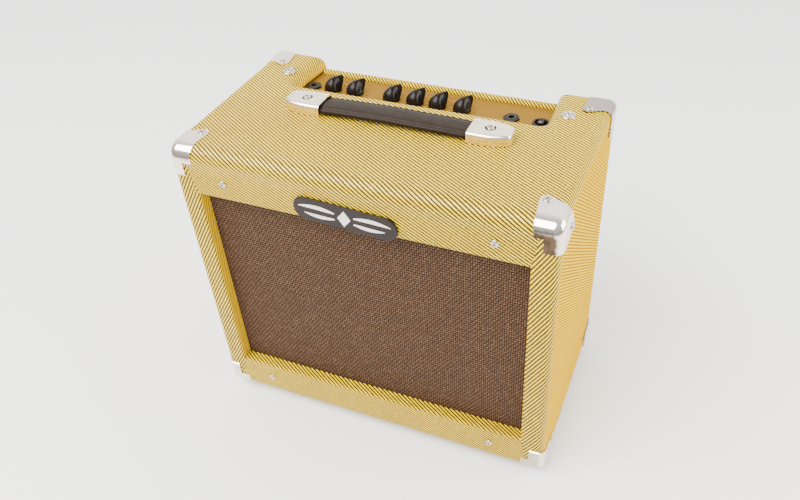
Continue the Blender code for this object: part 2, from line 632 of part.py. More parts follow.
# ---------------------------------------------------------------- loudspeaker
def build_speaker():
    x, z = SPEAKER_AXIS
    black = material("speaker_steel", (0.05, 0.05, 0.055), 0.45, 0.5)
    n = 36
    y = BAFFLE[1] + GAP
    gasket = [(93.5, y), (102.0, y), (102.0, y + 1.8), (93.5, y + 1.8)]
    make(
        "speaker_gasket",
        turned(gasket, "Y", (x, 0, z), n),
        material("gasket_card", (0.12, 0.10, 0.08), 0.9),
    )
    y += 1.8 + GAP
    rim = [(93.6, y), (102.0, y), (102.0, y + 1.6), (95.6, y + 1.6), (94.4, y + 11.0), (93.0, y + 11.0)]
    make("speaker_rim", turned(rim, "Y", (x, 0, z), n), black)
    basket = [
        (94.3, y + 11.3), (94.0, y + 12.8), (80.0, y + 24.0), (48.0, y + 44.0), (46.0, y + 50.0), (15.6, y + 50.0), (15.6, y + 48.4), (44.6, y + 48.4),
        (46.8, y + 42.6), (78.6, y + 22.8), (92.6, y + 11.3),
    ]
    frame = make("speaker_frame", turned(basket, "Y", (x, 0, z), n), black)
    for k in range(4):
        a0 = math.radians(45 + 90 * k - 29)
        a1 = math.radians(45 + 90 * k + 29)
        poly = []
        for r, lo, hi in ((54.0, a0, a1), (130.0, a1, a0)):
            for q in range(5):
                t = lo + (hi - lo) * q / 4
                poly.append((x + r * math.cos(t), z + r * math.sin(t)))
        window = prism(poly, "Y", y + 14.0, y + 38.6)
        boolean(frame, make(f"basket_window_{k}", window, helper=True))
    back = y + 50.0 + GAP
    magnet = [
        (0, back - 4.0), (11.2, back - 4.0), (11.4, back + 12.0), (15.0, back + 12.0), (15.0, back), (44.0, back), (44.0, back + 5.0), (41.0, back + 6.0),
        (41.0, back + 20.0), (44.0, back + 21.0), (44.0, back + 25.0), (42.0, back + 27.0), (0, back + 27.0),
    ]
    make(
        "speaker_magnet",
        turned(magnet, "Y", (x, 0, z), n),
        material("magnet_iron", (0.09, 0.09, 0.10), 0.5, 0.7),
    )
    # Paper cone on its voice coil former, with a dust cap and a rolled surround
    paper = material("cone_paper", (0.06, 0.05, 0.045), 0.9)
    cone = [(12.4, 83.0), (12.4, 61.6), (16.0, 61.2), (74.0, 35.0), (74.9, 36.5), (17.4, 62.8), (13.6, 64.6), (13.6, 83.0)]
    make("speaker_cone", turned(cone, "Y", (x, 0, z), n), paper, (x, 60.0, z))
    cap = [(0, 50.8), (8.0, 51.7), (14.6, 55.0), (19.2, 59.0), (17.8, 59.8), (13.8, 56.6), (7.4, 53.4), (0, 52.4)]
    make("speaker_dust_cap", turned(cap, "Y", (x, 0, z), n), paper, (x, 60.0, z))
    surround = [
        (71.2, 34.6), (74.4, 32.8), (77.2, 30.4), (81.0, 29.0), (85.0, 31.0), (87.5, 35.4), (91.6, 35.4), (91.6, 36.8), (86.6, 36.8), (83.6, 32.4),
        (81.0, 30.5), (78.2, 31.8), (75.6, 33.9), (71.4, 35.4),
    ]
    make("speaker_surround", turned(surround, "Y", (x, 0, z), n), paper, (x, 60.0, z))


def main():
    global ROOT
    clear_scene()
    ROOT = bpy.data.objects.new("amp_origin", None)
    bpy.context.scene.collection.objects.link(ROOT)
    ROOT.location = (-WIDTH / 2 * MM, -DEPTH / 2 * MM, FOOT_HEIGHT * MM)
    build_cabinet()
    build_corners()
    build_hardware()
    build_electronics()
    build_knobs()
    build_speaker()


main()
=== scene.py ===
import json
import math
import random

import bmesh
import bpy
from mathutils import Matrix, Quaternion, Vector


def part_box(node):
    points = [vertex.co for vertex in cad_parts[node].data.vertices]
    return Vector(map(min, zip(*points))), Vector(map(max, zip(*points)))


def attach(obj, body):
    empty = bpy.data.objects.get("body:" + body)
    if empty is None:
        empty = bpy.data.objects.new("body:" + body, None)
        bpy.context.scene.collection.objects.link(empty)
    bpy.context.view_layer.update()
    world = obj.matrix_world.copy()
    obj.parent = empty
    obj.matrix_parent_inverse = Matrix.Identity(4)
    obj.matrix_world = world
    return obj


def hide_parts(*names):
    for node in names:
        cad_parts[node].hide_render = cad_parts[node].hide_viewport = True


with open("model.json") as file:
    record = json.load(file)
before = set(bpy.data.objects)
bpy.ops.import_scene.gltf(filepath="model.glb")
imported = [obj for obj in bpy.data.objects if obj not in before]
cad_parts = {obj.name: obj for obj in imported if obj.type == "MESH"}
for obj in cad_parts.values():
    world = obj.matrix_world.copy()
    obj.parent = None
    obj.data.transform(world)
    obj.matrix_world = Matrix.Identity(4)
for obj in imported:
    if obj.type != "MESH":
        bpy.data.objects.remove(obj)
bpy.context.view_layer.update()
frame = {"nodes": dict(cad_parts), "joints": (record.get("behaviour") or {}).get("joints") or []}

rng = random.Random(7)

# ------------------------------------------------------------------ places, all from the frame
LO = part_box("side_left")[0]
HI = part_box("side_right")[1]
W, D, H = [(HI[i] - LO[i]) * 1000 for i in range(3)]
END_R, EDGE_R, TOP_R = 8.0, 8.6, 15.0
BOARD = (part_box("side_left")[1].x - LO.x) * 1000


def cab(x, y, z):
    """Cabinet millimetres (from the left, from the front, from the underside) to the row frame."""
    return Vector((LO.x + x / 1000, LO.y + y / 1000, LO.z + z / 1000))


def cab_box(node):
    lo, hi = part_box(node)
    return [((v - o) * 1000) for v, o in zip(lo, LO)], [((v - o) * 1000) for v, o in zip(hi, LO)]


# ------------------------------------------------------------------ node materials
class Mat:
    def __init__(self, name):
        self.m = bpy.data.materials.new(name)
        self.m.use_nodes = True
        self.t = self.m.node_tree
        self.b = self.t.nodes["Principled BSDF"]
        self._obj = None

    def set(self, **kw):
        names = {
            "color": "Base Color", "rough": "Roughness", "metal": "Metallic", "coat": "Coat Weight", "coat_rough": "Coat Roughness",
            "sheen": "Sheen Weight", "sheen_rough": "Sheen Roughness", "spec": "Specular IOR Level", "ior": "IOR", "normal": "Normal",
            "trans": "Transmission Weight", "sss": "Subsurface Weight", "emit": "Emission Strength", "emit_color": "Emission Color", "aniso": "Anisotropic", "tint": "Specular Tint",
        }
        for k, v in kw.items():
            s = self.b.inputs[names[k]]
            if isinstance(v, bpy.types.NodeSocket):
                self.t.links.new(v, s)
            elif isinstance(v, tuple) and len(v) == 3:
                s.default_value = (*v, 1.0)
            else:
                s.default_value = v
        return self

    def n(self, kind, **kw):
        node = self.t.nodes.new(kind)
        for k, v in kw.items():
            setattr(node, k, v)
        return node

    def put(self, v, s):
        if isinstance(v, bpy.types.NodeSocket):
            self.t.links.new(v, s)
        elif isinstance(v, tuple) and len(v) == 3 and s.type == "RGBA":
            s.default_value = (*v, 1.0)
        else:
            s.default_value = v

    def math(self, op, a, b=None, c=None, clamp=False):
        node = self.n("ShaderNodeMath", operation=op, use_clamp=clamp)
        for i, v in enumerate((a, b, c)):
            if v is not None:
                self.put(v, node.inputs[i])
        return node.outputs[0]

    def mix(self, f, a, b, blend="MIX"):
        node = self.n("ShaderNodeMix", data_type="RGBA", blend_type=blend)
        self.put(f, node.inputs[0])
        self.put(a, node.inputs[6])
        self.put(b, node.inputs[7])
        return node.outputs[2]

    def remap(self, v, a, b, c, d, smooth=False):
        node = self.n("ShaderNodeMapRange", clamp=True)
        if smooth:
            node.interpolation_type = "SMOOTHSTEP"
        for i, q in enumerate((v, a, b, c, d)):
            self.put(q, node.inputs[i])
        return node.outputs[0]

    def obj(self):
        if self._obj is None:
            self._obj = self.n("ShaderNodeTexCoord").outputs["Object"]
        return self._obj

    def xyz(self, vec):
        node = self.n("ShaderNodeSeparateXYZ")
        self.put(vec, node.inputs[0])
        return node.outputs

    def vec(self, x, y, z=0.0):
        node = self.n("ShaderNodeCombineXYZ")
        for i, q in enumerate((x, y, z)):
            self.put(q, node.inputs[i])
        return node.outputs[0]

    def noise(self, scale, detail=3.0, rough=0.5, vec=None, squash=None, distort=0.0):
        v = vec or self.obj()
        if squash:
            mp = self.n("ShaderNodeMapping")
            mp.inputs["Scale"].default_value = squash
            self.put(v, mp.inputs[0])
            v = mp.outputs[0]
        node = self.n("ShaderNodeTexNoise")
        self.put(v, node.inputs["Vector"])
        node.inputs["Scale"].default_value = scale
        node.inputs["Detail"].default_value = detail
        node.inputs["Roughness"].default_value = rough
        node.inputs["Distortion"].default_value = distort
        return node.outputs[0]

    def voronoi(self, scale, feature="F1", vec=None):
        node = self.n("ShaderNodeTexVoronoi", feature=feature)
        self.put(vec or self.obj(), node.inputs["Vector"])
        node.inputs["Scale"].default_value = scale
        return node.outputs["Distance"]

    def white(self, vec):
        node = self.n("ShaderNodeTexWhiteNoise", noise_dimensions="3D")
        self.put(vec, node.inputs["Vector"])
        return node.outputs["Value"]

    def bump(self, h, dist, strength=1.0, under=None):
        node = self.n("ShaderNodeBump")
        node.inputs["Strength"].default_value = strength
        node.inputs["Distance"].default_value = dist
        self.put(h, node.inputs["Height"])
        if under is not None:
            self.put(under, node.inputs["Normal"])
        return node.outputs[0]


def tweed_material(name):
    """Diagonal twill: yellow and brown stripes 3.1 mm apart, each stepped yarn by yarn, under a thin lacquer. Reads the UV map "cloth", in millimetres."""
    g = Mat(name)
    uv = g.n("ShaderNodeUVMap", uv_map="cloth").outputs[0]
    wob = g.noise(0.05, 2.0, vec=uv)
    a, b = g.xyz(uv)[0], g.xyz(uv)[1]
    b = g.math("ADD", b, g.math("MULTIPLY", g.math("SUBTRACT", wob, 0.5), 0.9))
    ang = math.radians(31.0)
    pitch = 3.1
    pa, pb = pitch / math.sin(ang), pitch / math.cos(ang)
    ya, yb = pa / 8, pb / 8
    ia = g.math("FLOOR", g.math("DIVIDE", a, ya))
    ib = g.math("FLOOR", g.math("DIVIDE", b, yb))
    fa = g.math("SUBTRACT", g.math("DIVIDE", a, ya), ia)
    fb = g.math("SUBTRACT", g.math("DIVIDE", b, yb), ib)
    cell = g.white(g.vec(ia, ib, 0.0))
    yarn = g.white(g.vec(ia, 3.0, 5.0))
    # Half the step is softened, so a stripe is a run of short stitches and not a saw blade.
    qa = g.math("ADD", g.math("MULTIPLY", g.math("ADD", ia, 0.5), 0.55), g.math("MULTIPLY", g.math("DIVIDE", a, ya), 0.45))
    phase = g.math("FRACT", g.math("ADD", g.math("DIVIDE", qa, 8.0), g.math("DIVIDE", b, pb)))
    tri = g.math("MULTIPLY", g.math("ABSOLUTE", g.math("SUBTRACT", phase, 0.5)), 2.0)
    mask = g.remap(g.math("ADD", tri, g.math("MULTIPLY", g.math("SUBTRACT", cell, 0.5), 0.20)), 0.44, 0.64, 0.0, 1.0, smooth=True)
    broad = g.noise(9.0, 3.0)
    patch = g.noise(0.6, 3.0, 0.6, vec=uv)
    yellow = g.mix(g.remap(yarn, 0, 1, 0.0, 1.0), YELLOW, YELLOW_2)
    yellow = g.mix(g.remap(g.math("ADD", broad, patch), 0.85, 1.25, 0.0, 0.7), yellow, YELLOW_3)
    brown = g.mix(g.remap(cell, 0, 1, 0.0, 1.0), BROWN, BROWN_2)
    color = g.mix(mask, brown, yellow)
    # Threads are round, and the yellow ones stand proud.
    ra = g.math("SINE", g.math("MULTIPLY", fa, math.pi))
    rb = g.math("SINE", g.math("MULTIPLY", fb, math.pi))
    thread = g.math("MULTIPLY", g.math("POWER", ra, 0.6), g.math("POWER", rb, 0.5))
    # Painted shade: the colour darkens toward the edges of each thread, in the grooves between them.
    color = g.mix(g.remap(thread, 0.0, 0.55, 0.25, 0.0), color, (0.07, 0.04, 0.004))
    h = g.math("ADD", g.math("MULTIPLY", mask, 0.6), g.math("MULTIPLY", thread, 0.4))
    fine = g.bump(h, 0.00022, 0.8)
    # Painted light: the cloth on the sides is tinted warmer, chosen by which way each face turns; the rounded front
    # edge is rubbed to a shine.
    x, y, z = g.xyz(g.obj())
    nx = g.math("ABSOLUTE", g.xyz(g.n("ShaderNodeNewGeometry").outputs["Normal"])[0])
    flank = g.remap(nx, 0.80, 0.98, 0.0, 1.0, smooth=True)
    color = g.mix(g.math("MULTIPLY", flank, 0.42), color, (0.80, 0.43, 0.002))
    shine = g.math("MULTIPLY", g.remap(y, LO.y + 0.024, LO.y + 0.010, 0.0, 1.0), g.remap(z, LO.z + (H - 26) / 1000, LO.z + (H - 12) / 1000, 0.0, 1.0))
    shine = g.math("MULTIPLY", shine, g.remap(mask, 0.25, 0.95, 0.0, 1.0))
    rough = g.remap(g.math("ADD", thread, g.math("MULTIPLY", cell, 0.4)), 0.0, 1.4, 0.44, 0.30)
    g.set(color=color, rough=rough, normal=g.bump(broad, 0.0012, 0.35, under=fine), spec=g.remap(flank, 0.0, 1.0, 0.24, 0.0), tint=(1.0, 0.88, 0.22), coat=shine, coat_rough=0.24)
    return g.m


def grille_material():
    """Basket weave of paired brown yarns, some lighter beads, with painted shade in a dark hole at each corner and on
    every second lower row.
    """
    g = Mat("grille_weave")
    x, y, z = g.xyz(g.obj())
    wob = g.math("MULTIPLY", g.math("SUBTRACT", g.noise(14.0, 2.0), 0.5), 0.0012)
    px, pz = 0.00224, 0.0030
    u = g.math("DIVIDE", g.math("ADD", x, wob), px)
    v = g.math("DIVIDE", g.math("ADD", z, wob), pz)
    iu, iv = g.math("FLOOR", u), g.math("FLOOR", v)
    fu, fv = g.math("SUBTRACT", u, iu), g.math("SUBTRACT", v, iv)
    su = g.math("SINE", g.math("MULTIPLY", fu, math.pi))
    sv = g.math("SINE", g.math("MULTIPLY", fv, math.pi))
    # The twill: every second diagonal row of crossings lies lower, shown only as painted shade.
    lower_row_shade = g.math("MULTIPLY_ADD", g.math("COSINE", g.math("MULTIPLY", g.math("SUBTRACT", u, v), math.pi)), 0.5, 0.5)
    top = g.math("MULTIPLY", g.math("POWER", sv, 0.7), g.math("POWER", su, 0.7))
    solid = g.math("MULTIPLY", g.math("POWER", su, 0.45), g.math("POWER", sv, 0.45))
    cell = g.white(g.vec(iu, iv, 1.0))
    bead = g.math("GREATER_THAN", g.white(g.vec(iu, iv, 7.0)), 0.80)
    row = g.white(g.vec(2.0, iv, 9.0))
    base = g.mix(cell, (0.122, 0.069, 0.042), (0.092, 0.050, 0.028))
    # Painted shade: the lower rows are darkened.
    base = g.mix(g.math("MULTIPLY", lower_row_shade, 0.72), base, (0.030, 0.014, 0.007))
    base = g.mix(g.remap(row, 0.0, 1.0, 0.0, 0.15), base, (0.11, 0.062, 0.038))
    base = g.mix(g.math("MULTIPLY", g.remap(top, 0.5, 0.95, 0.0, 0.45), bead), base, (0.19, 0.12, 0.078))
    # Painted shade: the gaps between the yarns are filled near-black.
    color = g.mix(g.remap(solid, 0.22, 0.80, 1.0, 0.0, smooth=True), base, (0.006, 0.003, 0.002))
    strand = g.math("MULTIPLY", g.noise(2600.0, 2.0, squash=(1.0, 1.0, 0.4)), 0.12)
    h = g.math("ADD", g.math("MULTIPLY", solid, 0.7), g.math("ADD", g.math("MULTIPLY", top, 0.3), strand))
    g.set(color=color, rough=g.remap(solid, 0, 1, 0.9, 0.65), normal=g.bump(h, 0.0005, 0.9), spec=0.10, tint=(1.0, 0.8, 0.6))
    return g.m


def metal(name, color, rough, spread=0.08, brushed=None, bump=0.00002, metallic=1.0, coat=0.0, shade=None):
    g = Mat(name)
    broad = g.noise(60.0, 4.0)
    fine = g.noise(900.0, 3.0, squash=brushed) if brushed else g.noise(1500.0, 2.0)
    scratch = g.remap(g.noise(240.0, 8.0, 0.75, squash=(1.0, 6.0, 1.0)), 0.60, 0.72, 0.0, 1.0)
    r = g.math("ADD", g.remap(broad, 0.3, 0.7, rough, rough + spread), g.math("MULTIPLY", scratch, 0.10))
    c = g.mix(g.remap(broad, 0.35, 0.75, 0.0, 1.0), color, tuple(v * 0.88 for v in color))
    if shade:
        # Painted reflection: browner where the piece turns away from its top, standing in for the dark surroundings the
        # lobes reflect; weaker on the left and low down.
        n = g.n("ShaderNodeNewGeometry").outputs["Normal"]
        nx, ny, nz = g.xyz(n)
        cloud = g.math("MULTIPLY", g.math("SUBTRACT", g.noise(140.0, 4.0), 0.5), 0.35)
        away = g.remap(g.math("ADD", g.math("ADD", nz, g.math("MULTIPLY", g.math("ABSOLUTE", nx), 0.75)), cloud), 0.16, 0.50, 1.0, 0.0, smooth=True)
        px, py, pz = g.xyz(g.obj())
        away = g.math("MULTIPLY", away, g.remap(px, -0.02, 0.02, 0.12, 1.0))
        away = g.math("MULTIPLY", away, g.remap(pz, 0.16, 0.20, 0.45, 1.0))
        tone = g.mix(g.remap(g.noise(90.0, 2.0), 0.35, 0.6, 0.0, 1.0), shade, tuple(v * 2.6 for v in shade))
        c = g.mix(away, c, tone)
        # Painted shade: the rear right corner is greyed down by position.
        painted_rear_shade = g.math("MULTIPLY", g.remap(px, 0.10, 0.14, 0.0, 1.0), g.remap(py, 0.03, 0.06, 0.0, 0.80))
        c = g.mix(painted_rear_shade, c, (0.26, 0.21, 0.185))
    g.set(color=c, rough=r, metal=metallic, normal=g.bump(g.math("ADD", broad, g.math("MULTIPLY", fine, 0.4)), bump, 0.5), coat=coat, coat_rough=0.1)
    return g.m


def plastic(name, color, rough, spread=0.12, grain=0.00003, scale=1400.0, spec=0.15, coat=0.0):
    g = Mat(name)
    broad = g.noise(45.0, 4.0)
    fine = g.noise(scale, 3.0)
    c = g.mix(g.remap(broad, 0.3, 0.75, 0.0, 1.0), color, tuple(min(1.0, v * 1.25 + 0.002) for v in color))
    g.set(color=c, rough=g.remap(broad, 0.3, 0.7, rough, rough + spread), normal=g.bump(fine, grain, 0.6), spec=spec, coat=coat, coat_rough=0.08)
    return g.m


def leather_material():
    g = Mat("strap_leather")
    pores = g.voronoi(900.0)
    crease = g.noise(160.0, 6.0, 0.6)
    h = g.math("ADD", g.math("MULTIPLY", pores, 0.6), g.math("MULTIPLY", crease, 0.5))
    c = g.mix(g.remap(crease, 0.35, 0.7, 0.0, 1.0), (0.017, 0.0105, 0.006), (0.013, 0.008, 0.005))
    c = g.mix(g.remap(pores, 0.0, 0.25, 0.35, 0.0), c, (0.005, 0.003, 0.002))
    g.set(color=c, rough=g.remap(crease, 0.3, 0.7, 0.42, 0.50), normal=g.bump(h, 0.00010, 0.5), spec=0.12)
    return g.m


def panel_material():
    g = Mat("panel_gold")
    speck = g.noise(2400.0, 2.0)
    brush = g.noise(500.0, 4.0, squash=(0.06, 1.0, 1.0))
    broad = g.noise(22.0, 3.0)
    c = g.mix(g.remap(brush, 0.3, 0.7, 0.0, 1.0), (0.237, 0.123, 0.0105), (0.197, 0.101, 0.0075))
    c = g.mix(g.remap(broad, 0.4, 0.75, 0.0, 0.5), c, (0.20, 0.103, 0.009))
    c = g.mix(g.remap(speck, 0.55, 0.75, 0.0, 0.25), c, (0.38, 0.22, 0.05))
    g.set(color=c, rough=g.remap(brush, 0.3, 0.7, 0.42, 0.55), metal=0.5, spec=0.2, tint=(1.0, 0.8, 0.5), normal=g.bump(g.math("ADD", brush, speck), 0.00002, 0.5))
    return g.m


def wood_material(name, color, dark, rough=0.6):
    g = Mat(name)
    grain = g.noise(90.0, 6.0, 0.65, squash=(0.12, 1.0, 1.0), distort=0.4)
    pore = g.noise(900.0, 3.0, squash=(0.05, 1.0, 1.0))
    c = g.mix(g.remap(grain, 0.3, 0.7, 0.0, 1.0), color, dark)
    c = g.mix(g.remap(pore, 0.55, 0.75, 0.0, 0.5), c, tuple(v * 0.5 for v in dark))
    g.set(color=c, rough=g.remap(grain, 0.3, 0.7, rough, rough + 0.15), normal=g.bump(g.math("ADD", grain, g.math("MULTIPLY", pore, 0.5)), 0.0002, 0.6))
    return g.m


def board_material():
    g = Mat("board_green")
    trace = g.voronoi(260.0, "DISTANCE_TO_EDGE")
    c = g.mix(g.remap(trace, 0.03, 0.05, 1.0, 0.0), (0.005, 0.04, 0.016), (0.012, 0.08, 0.032))
    z = g.xyz(g.obj())[2]
    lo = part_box("control_board")[0]
    can = g.math("GREATER_THAN", z, lo.z + 0.0021)
    c = g.mix(can, c, (0.18, 0.18, 0.19))
    g.set(color=c, rough=g.remap(g.noise(300.0), 0.3, 0.7, 0.35, 0.5), metal=g.math("MULTIPLY", can, 0.9), normal=g.bump(g.noise(700.0), 0.00005, 0.5))
    return g.m


def ring_material(name, node, axis, color, dark, pitch, rough=0.85):
    """Pressed paper: rings round the speaker's axis, with long fibres."""
    g = Mat(name)
    lo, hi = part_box(node)
    c = (lo + hi) / 2
    x, y, z = g.xyz(g.obj())
    r = g.math("SQRT", g.math("ADD", g.math("POWER", g.math("SUBTRACT", x, c.x), 2.0), g.math("POWER", g.math("SUBTRACT", z, c.z), 2.0)))
    wave = g.math("SINE", g.math("MULTIPLY", r, 2 * math.pi / pitch))
    fibre = g.noise(420.0, 5.0, 0.7)
    col = g.mix(g.remap(fibre, 0.3, 0.7, 0.0, 1.0), color, dark)
    g.set(color=col, rough=g.remap(fibre, 0.3, 0.7, rough, rough + 0.1), normal=g.bump(g.math("ADD", g.math("MULTIPLY", wave, 0.3), fibre), 0.0003, 0.7), spec=0.3)
    return g.m


YELLOW, YELLOW_2, YELLOW_3 = (0.97, 0.655, 0.004), (0.88, 0.575, 0.002), (0.78, 0.49, 0.001)
BROWN, BROWN_2 = (0.024, 0.014, 0.001), (0.048, 0.029, 0.002)
TWEED = tweed_material("tweed_cloth")
M = {
    "tweed": TWEED,
    "inner": wood_material("inner_board", (0.025, 0.019, 0.013), (0.014, 0.010, 0.008)),
    "grille": grille_material(),
    "chrome": metal("chrome_polished", (0.86, 0.775, 0.67), 0.08, 0.05, shade=(0.034, 0.022, 0.013)),
    "cap": metal("chrome_satin", (0.97, 0.86, 0.70), 0.16, 0.06),
    "screw": metal("screw_nickel", (0.55, 0.49, 0.40), 0.16, 0.10),
    "slot": plastic("recess_shadow", (0.006, 0.005, 0.004), 0.7, spec=0.05),
    "strap": leather_material(),
    "gold": panel_material(),
    "ink": plastic("print_ink", (0.035, 0.018, 0.006), 0.55, spec=0.1),
    "knob": plastic("knob_bakelite", (0.0065, 0.004, 0.003), 0.19, 0.08, 0.00001, spec=0.13),
    "jack": plastic("jack_black", (0.012, 0.009, 0.007), 0.35),
    "nut": plastic("nut_moulded", (0.012, 0.008, 0.005), 0.30),
    "washer": metal("washer_grey", (0.11, 0.095, 0.07), 0.34, 0.10),
    "rubber": plastic("foot_rubber", (0.010, 0.010, 0.010), 0.75, 0.15, 0.0001, 700.0, 0.15),
    "zinc": metal("zinc_plate", (0.30, 0.30, 0.30), 0.30, 0.16, brushed=(0.08, 1.0, 1.0), bump=0.00005),
    "board": board_material(),
    "iron": metal("laminated_iron", (0.06, 0.06, 0.065), 0.42, 0.15, brushed=(1.0, 1.0, 12.0), bump=0.0003, metallic=0.7),
    "frame": metal("speaker_black", (0.014, 0.014, 0.016), 0.38, 0.12, metallic=0.3, bump=0.00008),
    "magnet": metal("magnet_ferrite", (0.03, 0.03, 0.033), 0.55, 0.12, metallic=0.4, bump=0.0001),
    "cone": ring_material("cone_paper", "speaker_cone", "Y", (0.028, 0.024, 0.020), (0.013, 0.011, 0.010), 0.006),
    "card": ring_material("gasket_card", "speaker_gasket", "Y", (0.08, 0.06, 0.045), (0.05, 0.04, 0.03), 0.003),
    "plate": plastic("name_plate_dark", (0.010, 0.006, 0.005), 0.24, 0.1, spec=0.15, coat=0.05),
    "white": plastic("ornament_white", (0.62, 0.58, 0.53), 0.28, 0.1, spec=0.3, coat=0.1),
    "lens": plastic("rocker_lens", (0.012, 0.004, 0.004), 0.28, 0.08, spec=0.14, coat=0.04),
}


# ------------------------------------------------------------------ mesh helpers, in cabinet millimetres
def loft(bm, rings, caps=True):
    rows = [[bm.verts.new(p) for p in ring] for ring in rings]
    n = len(rows[0])
    for a, b in zip(rows, rows[1:]):
        for i in range(n):
            j = (i + 1) % n
            bm.faces.new((a[i], a[j], b[j], b[i]))
    if caps:
        bm.faces.new(rows[0][::-1])
        bm.faces.new(rows[-1])
    return bm


def prism(poly, axis, lo, hi):
    put = {"X": lambda a, b, h: (h, a, b), "Y": lambda a, b, h: (a, h, b), "Z": lambda a, b, h: (a, b, h)}[axis]
    return loft(bmesh.new(), [[put(a, b, h) for a, b in poly] for h in (lo, hi)])


def circle(ca, cb, r, n, start=0.0):
    return [(ca + r * math.cos(start + 2 * math.pi * k / n), cb + r * math.sin(start + 2 * math.pi * k / n)) for k in range(n)]


def rounded(a0, a1, b0, b1, r, n=5):
    out = []
    for ca, cb, s in ((a0 + r, b0 + r, 180), (a1 - r, b0 + r, 270), (a1 - r, b1 - r, 0), (a0 + r, b1 - r, 90)):
        for k in range(n + 1):
            t = math.radians(s + 90 * k / n)
            out.append((ca + r * math.cos(t), cb + r * math.sin(t)))
    return out


def turned(profile, axis, centre, n, bm=None):
    bm = bm or bmesh.new()
    cx, cy, cz = centre

    def put(r, h, t):
        c, s = r * math.cos(t), r * math.sin(t)
        return {"Z": (cx + c, cy + s, cz + h), "Y": (cx + c, cy + h, cz + s), "X": (cx + h, cy + c, cz + s)}[axis]

    rows = []
    for r, h in profile:
        rows.append([bm.verts.new(put(0, h, 0))] if r < 1e-6 else [bm.verts.new(put(r, h, 2 * math.pi * k / n)) for k in range(n)])
    pairs = list(zip(rows, rows[1:]))
    if len(rows[0]) > 1:
        pairs.append((rows[-1], rows[0]))
    for a, b in pairs:
        for k in range(n):
            j = (k + 1) % n
            if len(a) == 1 and len(b) == 1:
                break
            if len(a) == 1:
                bm.faces.new((a[0], b[j], b[k]))
            elif len(b) == 1:
                bm.faces.new((a[k], a[j], b[0]))
            else:
                bm.faces.new((a[k], a[j], b[j], b[k]))
    return bm


def smooth_closed(poly, times=2):
    """Rounds a closed outline by cutting its corners."""
    for _ in range(times):
        out = []
        for k, (a, b) in enumerate(poly):
            c, d = poly[(k + 1) % len(poly)]
            out += [(a * 0.75 + c * 0.25, b * 0.75 + d * 0.25), (a * 0.25 + c * 0.75, b * 0.25 + d * 0.75)]
        poly = out
    return poly


def to_object(name, bm):
    """A linked object in the row frame from a bmesh in cabinet millimetres."""
    bmesh.ops.recalc_face_normals(bm, faces=bm.faces)
    for v in bm.verts:
        v.co = cab(*v.co)
    mesh = bpy.data.meshes.new(name)
    bm.to_mesh(mesh)
    bm.free()
    obj = bpy.data.objects.new(name, mesh)
    bpy.context.scene.collection.objects.link(obj)
    return obj


def apply(obj):
    """Writes an object's modifiers into its mesh."""
    bpy.context.view_layer.update()
    graph = bpy.context.evaluated_depsgraph_get()
    mesh = bpy.data.meshes.new_from_object(obj.evaluated_get(graph))
    obj.modifiers.clear()
    old, obj.data = obj.data, mesh
    bpy.data.meshes.remove(old)


def boolean(obj, bm_or_obj, operation="DIFFERENCE", keep=False):
    other = bm_or_obj if isinstance(bm_or_obj, bpy.types.Object) else to_object("cutter", bm_or_obj)
    m = obj.modifiers.new("cut", "BOOLEAN")
    m.operation, m.solver, m.object = operation, "EXACT", other
    apply(obj)
    if not keep:
        bpy.data.objects.remove(other, do_unlink=True)
    return obj


def finish(obj, mats, body="cabinet", replaces=(), angle=35, bevel=0.0, segments=2, weighted=True):
    obj.data.materials.clear()
    for m in mats if isinstance(mats, (list, tuple)) else [mats]:
        obj.data.materials.append(m)
    if bevel:
        b = obj.modifiers.new("edge", "BEVEL")
        b.width, b.segments, b.limit_method, b.angle_limit = bevel / 1000, segments, "ANGLE", math.radians(38)
        b.harden_normals = False
        apply(obj)
    obj.data.shade_smooth()
    obj.data.set_sharp_from_angle(angle=math.radians(angle))
    if weighted:
        w = obj.modifiers.new("weighted", "WEIGHTED_NORMAL")
        w.keep_sharp, w.weight = True, 90
    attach(obj, body)
    if replaces:
        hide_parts(*replaces)
    return obj


def end_profile(inset, n_front=14, n=8):
    out = []
    for cy, cz, r, s, k_max in ((EDGE_R, EDGE_R, EDGE_R, 180, n), (D - EDGE_R, EDGE_R, EDGE_R, 270, n), (D - EDGE_R, H - EDGE_R, EDGE_R, 0, n), (TOP_R, H - TOP_R, TOP_R, 90, n_front)):
        for k in range(k_max + 1):
            t = math.radians(s + 90 * k / k_max)
            out.append((cy + (r - inset) * math.cos(t), cz + (r - inset) * math.sin(t)))
    return out


def end_rings(grow, inner_x, steps=9):
    rings = []
    for k in range(steps + 1):
        t = math.radians(90 * (1 - k / steps))
        x = END_R - (END_R + grow) * math.sin(t)
        inset = END_R - (END_R + grow) * math.cos(t)
        rings.append([(x, y, z) for y, z in end_profile(inset)])
    rings.append([(inner_x, y, z) for y, z in end_profile(-grow)])
    return rings


def flip_x(rings):
    return [[(W - x, y, z) for x, y, z in ring] for ring in rings]


def envelope(grow):
    left = end_rings(grow, W / 2)
    right = flip_x(end_rings(grow, W / 2))[:-1]
    return loft(bmesh.new(), left + right[::-1])


# ------------------------------------------------------------------ the cloth-covered cabinet
RX0, RX1, RY = 53.4, 323.8, 144.5
LEAN, BEND = (0.086, 0.045), 170.0
RC, EAR_R, REC_R = 16.0, 16.0, 6.0
EAR_Z = H - EAR_R
OX0, OX1, OZ0, OZ1 = 25.0, 355.0, 44.0, 277.6
LIP = 2.6  # rounding of the opening's front edges
FRONT_T = 12.5


def recess_side(z):
    """How far the recess is wider at height z than at its narrowest: rolled over above, rounded under below."""
    under = 3.0 * (min(max(313.2 - z, 0.0), 3.3) / 3.3) ** 1.7
    zz = min(max(z - EAR_Z, 0.0), EAR_R)
    return under + EAR_R - math.sqrt(max(EAR_R**2 - zz**2, 0.0))


